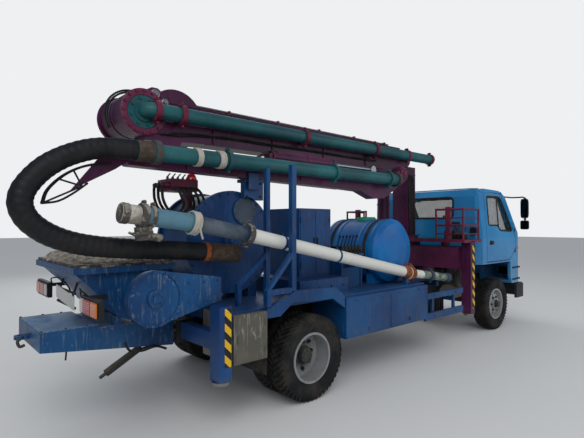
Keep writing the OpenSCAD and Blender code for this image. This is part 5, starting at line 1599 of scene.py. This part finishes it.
class PUMP_OT_chassis_fittings(bpy.types.Operator):
    """Air cleaner, battery box, mud flaps, pipes along the frame and guard bolts"""
    bl_idname = "pump.chassis_fittings"
    bl_label = "Chassis fittings"

    def execute(self, context):
        cleaner = Shape()
        cleaner.hoop([(0.0, -0.175), (0.075, -0.175), (0.092, -0.160), (0.100, -0.140), (0.100, 0.120),
                      (0.106, 0.124), (0.106, 0.142), (0.098, 0.150), (0.060, 0.166), (0.0, 0.166)],
                     (3.415, -0.760, 0.900), UP, 44)
        cleaner.block((3.395, -0.690, 0.800), (3.435, -0.425, 0.830), 0.003)
        cleaner.piece("air_cleaner", "truck", "box_grey", "box_grey")
        battery = Shape()
        battery.block((2.190, -0.900, 0.475), (2.640, -0.560, 0.705), 0.010)
        for i in range(8):
            px = 2.215 + i * 0.055
            battery.block((px, -0.912, 0.490), (px + 0.022, -0.896, 0.690), 0.004)
        battery.block((2.205, -0.575, 0.600), (2.245, -0.425, 0.660), 0.003)
        battery.block((2.585, -0.575, 0.600), (2.625, -0.425, 0.660), 0.003)
        battery.piece("battery_box", "truck", "trim_dark", "black_plastic")
        flaps = Shape()
        flaps.block((-0.555, 0.620, 0.360), (-0.545, 1.060, 0.520), 0.003)
        flaps.both().piece("mud_flaps", "truck", "trim_dark", "black_rubber")
        lines = Shape()
        for i, z in enumerate((0.735, 0.755)):
            lines.bent_tube([(-0.95, 0.430, z), (0.3, 0.432, z), (1.6, 0.430, z), (2.9, 0.432, z),
                             (3.6, 0.430, z)], 6, 0.0065, 8)
        lines.both().piece("frame_lines", "truck", "trim_dark", "black_rubber")
        bolts = Shape()
        for px in (2.17, 2.70):
            for z in (0.503, 0.755):
                bolts.bolt((px, 1.050, z), LEFT, 0.010, 0.009)
        bolts.both().piece("guard_bolts", "truck", "deck_blue", "guard_grey")
        return {"FINISHED"}


# Cab

CAB_REAR = 3.565
CAB_HALF = 0.985
LEAN_Z = 1.450
LEAN = 0.050 / 0.650
WINDOW = [(3.850, 1.640), (3.850, 2.090), (4.330, 2.090), (4.690, 1.540), (4.250, 1.560), (4.150, 1.640)]
MIRROR = (4.930, 1.090, 2.110)


def cab_wall(x, z, out=0.0):
    """Point on the outer skin of the cab's left side, which leans in above the waist."""
    return Vector((x, CAB_HALF - max(z - LEAN_Z, 0.0) * LEAN + out, z))


def slope_point(y, up, out=0.0):
    """Point on the windscreen's slope: distance up from its foot, and off the surface."""
    return Vector((5.040 - 0.5547 * up + 0.832 * out, y, 1.310 + 0.832 * up + 0.5547 * out))


def rounded(points, steps=4, share=0.14):
    """Closed outline with its corners rounded."""
    out = []
    n = len(points)
    for i in range(n):
        before, here, after = Vector(points[i - 1]), Vector(points[i]), Vector(points[(i + 1) % n])
        reach = min((before - here).length, (after - here).length) * share
        a = here + (before - here).normalized() * reach
        b = here + (after - here).normalized() * reach
        for k in range(steps + 1):
            t = k / steps
            out.append(a * (1 - t) ** 2 + here * 2 * t * (1 - t) + b * t ** 2)
    return out


class PUMP_OT_cab_trim(bpy.types.Operator):
    """Window rubbers, handles, armrests, wipers, grille, vents, gutters and steps"""
    bl_idname = "pump.cab_trim"
    bl_label = "Cab trim"

    def execute(self, context):
        for side, sign in SIDES:
            rubber_loop = Shape()
            loop = rounded([cab_wall(x, z, -0.002) for x, z in WINDOW])
            rubber_loop.sweep(loop + [loop[0]], 0.013, 8)
            # Bar between the quarter light and the sliding pane
            rubber_loop.sweep([cab_wall(4.20, 1.610, -0.006), cab_wall(4.20, 2.088, -0.006)], 0.010, 8)
            rubber_loop.piece(f"door_{side}_rubber", f"door_{side}", "trim_dark", "black_rubber",
                              mirrored=sign < 0)
            handle = Shape()
            handle.block(cab_wall(3.860, 1.340, -0.004), cab_wall(3.975, 1.405, 0.004), 0.004)
            handle.block(cab_wall(3.870, 1.352, 0.004), cab_wall(3.965, 1.378, 0.020), 0.006)
            handle.bar(cab_wall(3.990, 1.372, -0.002), cab_wall(3.990, 1.372, 0.009), 0.012, 16)
            for z in (1.22, 1.56):
                handle.block(cab_wall(4.770, z - 0.03, -0.004), cab_wall(4.798, z + 0.03, 0.008), 0.003)
            handle.piece(f"door_{side}_handle", f"door_{side}", "trim_dark", "black_plastic",
                         mirrored=sign < 0)
            inner = Shape()
            inner.block((4.02, CAB_HALF - 0.110, 1.28), (4.42, CAB_HALF - 0.048, 1.335), 0.012)
            inner.bar((4.50, CAB_HALF - 0.046, 1.36), (4.50, CAB_HALF - 0.085, 1.36), 0.018, 14)
            inner.bar((4.50, CAB_HALF - 0.080, 1.36), (4.44, CAB_HALF - 0.085, 1.32), 0.008, 8)
            inner.piece(f"door_{side}_armrest", f"door_{side}", "trim_dark", "grey_plastic",
                        mirrored=sign < 0)
        frame_rubber = Shape()
        loop = rounded([slope_point(-0.822, 0.100, -0.004), slope_point(0.822, 0.100, -0.004),
                        slope_point(0.800, 0.960, -0.004), slope_point(-0.800, 0.960, -0.004)], 6, 0.09)
        frame_rubber.sweep(loop + [loop[0]], 0.014, 8)
        loop = rounded([(CAB_REAR - 0.002, y, z) for y, z in ((-0.545, 1.755), (0.545, 1.755),
                        (0.545, 2.075), (-0.545, 2.075))], 6, 0.2)
        frame_rubber.sweep(loop + [loop[0]], 0.014, 8)
        frame_rubber.piece("cab_rubbers", "cab", "trim_dark", "black_rubber")
        wipers = Shape()
        for foot_y, tip_y in ((0.20, 0.62), (-0.42, 0.05)):
            foot, tip = slope_point(foot_y, 0.055, 0.006), slope_point(tip_y, 0.200, 0.022)
            stub = slope_point(0, 0, 0.02) - slope_point(0, 0, 0)
            wipers.bar(foot - stub, foot + stub, 0.012, 12)
            wipers.bar(foot, tip, 0.006, 8)
            wipers.bar(tip - Vector((0.0, 0.26, 0.0)), tip + Vector((0.0, 0.20, 0.0)), 0.0055, 6)
        # Grille slats and the black panel that joins the lamps
        for i in range(5):
            z = 0.748 + i * 0.030
            wipers.block((5.236, -0.470, z), (5.262, 0.470, z + 0.014), 0.003)
        wipers.block((5.225, -0.480, 0.735), (5.250, 0.480, 0.895), 0.002)
        wipers.piece("cab_front_trim", "cab", "trim_dark", "black_plastic")
        vents = Shape()
        for k in range(3):
            y = -0.560 - k * 0.075
            vents.block((CAB_REAR - 0.014, y - 0.055, 1.555), (CAB_REAR + 0.004, y, 1.675), 0.008)
        vents.piece("cab_rear_vents", "cab", "cab_blue", "cab_paint")
        slats = Shape()
        for k in range(3):
            y = -0.560 - k * 0.075
            for i in range(5):
                slats.block((CAB_REAR - 0.017, y - 0.047, 1.570 + i * 0.020),
                            (CAB_REAR - 0.013, y - 0.008, 1.579 + i * 0.020), 0.001)
        slats.block((CAB_REAR - 0.052, -0.930, 1.500), (CAB_REAR + 0.004, -0.835, 1.610), 0.010)
        slats.piece("cab_rear_slats", "cab", "trim_dark", "black_plastic")
        ribs = Shape()
        for x in (3.66, 3.70):
            ribs.bent_tube([(x, -0.885, 2.198), (x, -0.60, 2.206), (x, 0.60, 2.206), (x, 0.885, 2.198)], 5,
                           0.007, 8)
        gutter = [cab_wall(3.66, 2.155, -0.020), cab_wall(4.30, 2.160, -0.020), cab_wall(4.46, 2.120, -0.016),
                  cab_wall(4.84, 1.555, -0.008)]
        for sign in (1, -1):
            ribs.sweep(smooth_path([Vector((p.x, p.y * sign, p.z)) for p in gutter], 6), 0.009, 8)
        ribs.piece("cab_gutters", "cab", "cab_blue", "cab_paint")
        steps = Shape()
        for z in (0.735, 0.925):
            steps.block((4.665, CAB_HALF - 0.030, z), (4.975, CAB_HALF + 0.004, z + 0.028), 0.004)
            for i in range(7):
                steps.block((4.68 + i * 0.042, CAB_HALF - 0.004, z + 0.028),
                            (4.70 + i * 0.042, CAB_HALF + 0.003, z + 0.032), 0.001)
        steps.both().piece("cab_steps", "cab", "trim_dark", "black_plastic")
        return {"FINISHED"}


class PUMP_OT_cab_lights(bpy.types.Operator):
    """Headlamps, indicators, marker lamps, fog lamps and bumper slats"""
    bl_idname = "pump.cab_lights"
    bl_label = "Cab lights"

    def execute(self, context):
        housing = Shape()
        housing.plate(self.slab(0.540, 0.840, -0.06, 0.003, 0.005), 2, 0.775, 0.905)
        housing.both().piece("headlamp_frames", "cab", "trim_dark", "black_plastic")
        glass = Shape()
        glass.plate(self.slab(0.555, 0.760, -0.04, 0.008, 0.009), 2, 0.787, 0.893)
        glass.both().piece("headlamp_glass", "cab", "glass", "white_lens")
        amber = Shape()
        amber.plate(self.slab(0.768, 0.832, -0.04, 0.009, 0.010), 2, 0.787, 0.893)
        amber.block((4.845, CAB_HALF - 0.004, 1.245), (4.905, CAB_HALF + 0.012, 1.285), 0.005)
        amber.block((4.400, 0.800, 2.172), (4.440, 0.880, 2.200), 0.006)
        amber.both().piece("cab_amber_lamps", "cab", "lamp_red", "amber_lens")
        fog = Shape()
        fog.hoop([(0.0, 0.004), (0.038, 0.002), (0.046, -0.006), (0.046, -0.020), (0.0, -0.020)],
                 (5.276, 0.62, 0.535), AHEAD, 36)
        fog.both().piece("fog_lamps", "truck", "lamp_red", "white_lens")
        bezels = Shape()
        bezels.hoop([(0.047, 0.0), (0.058, -0.002), (0.060, -0.012), (0.047, -0.012)], (5.277, 0.62, 0.535),
                    AHEAD, 40)
        for i in range(4):
            bezels.block((5.272, 0.02, 0.492 + i * 0.034), (5.282, 0.46, 0.506 + i * 0.034), 0.002)
        bezels.both().piece("bumper_slats", "truck", "bumper_grey", "black_plastic")
        return {"FINISHED"}

    @staticmethod
    def slab(low_y, high_y, back, near_out, far_out):
        """Outline of a lamp seen from above; its face follows the corner, which runs back outboard."""
        corners = ((low_y, back), (low_y, near_out), (high_y, far_out), (high_y, back))
        return [(5.300 - (y - 0.300) * 0.2703 + out, y) for y, out in corners]


class PUMP_OT_mirror_fittings(bpy.types.Operator):
    """Mirror heads with rounded backs, their bent arms, glass and clamps"""
    bl_idname = "pump.mirror_fittings"
    bl_label = "Mirror fittings"

    def execute(self, context):
        heads = Shape()
        x, y, z = MIRROR
        for half, low, high in ((0.060, 1.760, 2.080), (0.065, 1.570, 1.720)):
            outline = rounded([(-1, -1), (1, -1), (1, 1), (-1, 1)], 5, 0.22)
            rings = []
            for depth, share in ((-0.030, 1.0), (0.002, 1.0), (0.018, 0.92), (0.027, 0.76), (0.030, 0.50)):
                rings.append(heads.ring([(x + depth, y + a * half * share,
                                          (low + high) / 2 + b * (high - low) / 2 * share)
                                         for a, b in outline]))
            heads.skin(rings)
        heads.bar((x, y, 1.710), (x, y, 1.770), 0.012)
        arm = [(4.5165, 0.880, z), (4.800, 0.880, z), (4.890, 0.880, z), (x, 0.920, z), (x, 1.000, z),
               (x, 1.060, z), (x, y, z - 0.025), (x, y, z - 0.050)]
        heads.bent_tube(arm, 7, 0.012, 14)
        heads.both().piece("mirror_heads", "cab", "trim_dark", "black_plastic", ["mirrors"])
        glass = Shape()
        glass.block((4.8975, 1.038, 1.770), (4.901, 1.142, 2.070), 0.001)
        glass.block((4.8975, 1.034, 1.580), (4.901, 1.146, 1.710), 0.001)
        glass.both().piece("mirror_glass", "cab", "rod_chrome", "mirror")
        clamps = Shape()
        for height in (1.745, 2.090):
            clamps.bar((x, y, height - 0.012), (x, y, height + 0.012), 0.020, 16)
        clamps.bar((4.53, 0.866, z), (4.53, 0.895, z), 0.020, 16)
        clamps.both().piece("mirror_clamps", "cab", "trim_dark", "black_rubber")
        return {"FINISHED"}


class PUMP_OT_cab_inside(bpy.types.Operator):
    """Steering wheel, dials, gear lever and seat seams"""
    bl_idname = "pump.cab_inside"
    bl_label = "Cab inside"

    def execute(self, context):
        wheel = Shape()
        hub = Vector((4.640, 0.520, 1.500))
        lean = Vector((-0.62, 0, 0.78)).normalized()
        up = lean.cross(LEFT)
        rim = [hub + LEFT * 0.205 * cos(t) + up * 0.205 * sin(t)
               for t in (2 * pi * k / 40 for k in range(41))]
        wheel.sweep(rim, 0.014, 10)
        for t in (0.5, pi - 0.5, -pi / 2):
            wheel.bar(hub - lean * 0.01, hub + LEFT * 0.2 * cos(t) + up * 0.2 * sin(t), 0.011, 8)
        wheel.bar(hub + lean * 0.015, hub - lean * 0.03, 0.05, 24)
        wheel.bar(hub, hub - lean * 0.36, 0.028, 16)
        wheel.bar((4.33, 0.10, 1.20), (4.42, 0.08, 1.46), 0.009, 10)
        wheel.bar((4.415, 0.081, 1.45), (4.425, 0.078, 1.495), 0.024, 14)
        wheel.piece("steering_wheel", "cab", "trim_dark", "black_plastic")
        dials = Shape()
        dials.block((4.745, 0.33, 1.320), (4.900, 0.71, 1.375), 0.014)
        dials.block((4.735, -0.20, 1.195), (4.742, 0.20, 1.300), 0.004)
        for y in (0.44, 0.60):
            dials.cap([(0.040, 0.0), (0.044, -0.006)], (4.738, y, 1.270), AHEAD, 28)
        dials.piece("dashboard_dials", "cab", "trim_dark", "grey_plastic")
        seams = Shape()
        for y in (-0.520, 0.520):
            for k in (-1, 0, 1):
                seams.bar((3.826, y + k * 0.075, 1.26), (3.826, y + k * 0.075, 1.74), 0.004, 6)
            seams.block((3.715, y - 0.120, 1.800), (3.795, y + 0.120, 1.935), 0.025)
        seams.piece("seat_seams", "cab", "trim_dark", "seat_cloth")
        return {"FINISHED"}


class PUMP_OT_hose_rack(bpy.types.Operator):
    """Bent rods under the tip that hold the end hose in its curve"""
    bl_idname = "pump.hose_rack"
    bl_label = "Hose rack"

    def execute(self, context):
        rods = Shape()
        # Two arcs beside the hose, cross bars between them and struts back to the plate
        near_y, far_y = -0.585, -0.545
        arc = [(-1.700, 2.118), (-1.840, 2.098), (-1.960, 2.050), (-2.060, 1.978), (-2.135, 1.890),
               (-2.165, 1.800)]
        for y in (near_y, far_y):
            rods.bent_tube([(x, y, z) for x, z in arc], 6, 0.009, 8)
        for x, z in arc[1:]:
            rods.bar((x, near_y, z), (x, far_y, z), 0.007, 8)
        foot = (-1.900, -0.562, 1.935)
        for x, z in ((-1.960, 2.050), (-2.060, 1.978), (-2.165, 1.800)):
            rods.bar(foot, (x, -0.562, z), 0.007, 8)
        rods.bent_tube([(-1.860, -0.562, 1.960), (-1.960, -0.562, 1.880), (-2.060, -0.562, 1.820),
                        (-2.165, -0.562, 1.800)], 6, 0.008, 8)
        rods.piece("hose_rack", "boom_3", "boom_plum", "chassis_black")
        bolts = Shape()
        for x, z in ((-1.620, 2.180), (-1.760, 2.060), (-1.880, 1.965)):
            bolts.bolt((x, -0.566, z), RIGHT, 0.008, 0.007)
        bolts.piece("hose_guide_bolts", "boom_3", "boom_plum", "boom_plum")
        return {"FINISHED"}


class PUMP_PT_panel(bpy.types.Panel):
    """Lists the settings and the steps that dress the pump truck"""
    bl_idname = "PUMP_PT_panel"
    bl_label = "Pump truck"
    bl_space_type = "VIEW_3D"
    bl_region_type = "UI"
    bl_category = "Pump"

    def draw(self, context):
        for name, group in SETTINGS.items():
            box = self.layout.box()
            for setting in group.__annotations__:
                box.prop(getattr(context.scene, name), setting)
        for operator in OPERATORS:
            self.layout.operator(operator.bl_idname)


OPERATORS = [PUMP_OT_stage, PUMP_OT_finishes, PUMP_OT_tyres, PUMP_OT_wheel_fittings, PUMP_OT_end_hose,
             PUMP_OT_boom_pins, PUMP_OT_boom_plates, PUMP_OT_boom_pipe_clamps, PUMP_OT_boom_hoses,
             PUMP_OT_tail, PUMP_OT_hopper_fittings, PUMP_OT_leg_stripes, PUMP_OT_drum_fittings,
             PUMP_OT_valve_fittings, PUMP_OT_delivery_fittings, PUMP_OT_deck_fittings,
             PUMP_OT_mast_fittings, PUMP_OT_chassis_fittings, PUMP_OT_cab_trim, PUMP_OT_cab_lights,
             PUMP_OT_mirror_fittings, PUMP_OT_cab_inside, PUMP_OT_hose_rack]


def register():
    for group in SETTINGS.values():
        bpy.utils.register_class(group)
    for operator in OPERATORS:
        bpy.utils.register_class(operator)
    bpy.utils.register_class(PUMP_PT_panel)
    for name, group in SETTINGS.items():
        setattr(bpy.types.Scene, name, bpy.props.PointerProperty(type=group))


def unregister():
    for name in SETTINGS:
        delattr(bpy.types.Scene, name)
    bpy.utils.unregister_class(PUMP_PT_panel)
    for operator in reversed(OPERATORS):
        bpy.utils.unregister_class(operator)
    for group in SETTINGS.values():
        bpy.utils.unregister_class(group)


def main():
    register()
    for operator in OPERATORS:
        area, name = operator.bl_idname.split(".")
        getattr(getattr(bpy.ops, area), name)()


if __name__ == "__main__":
    main()
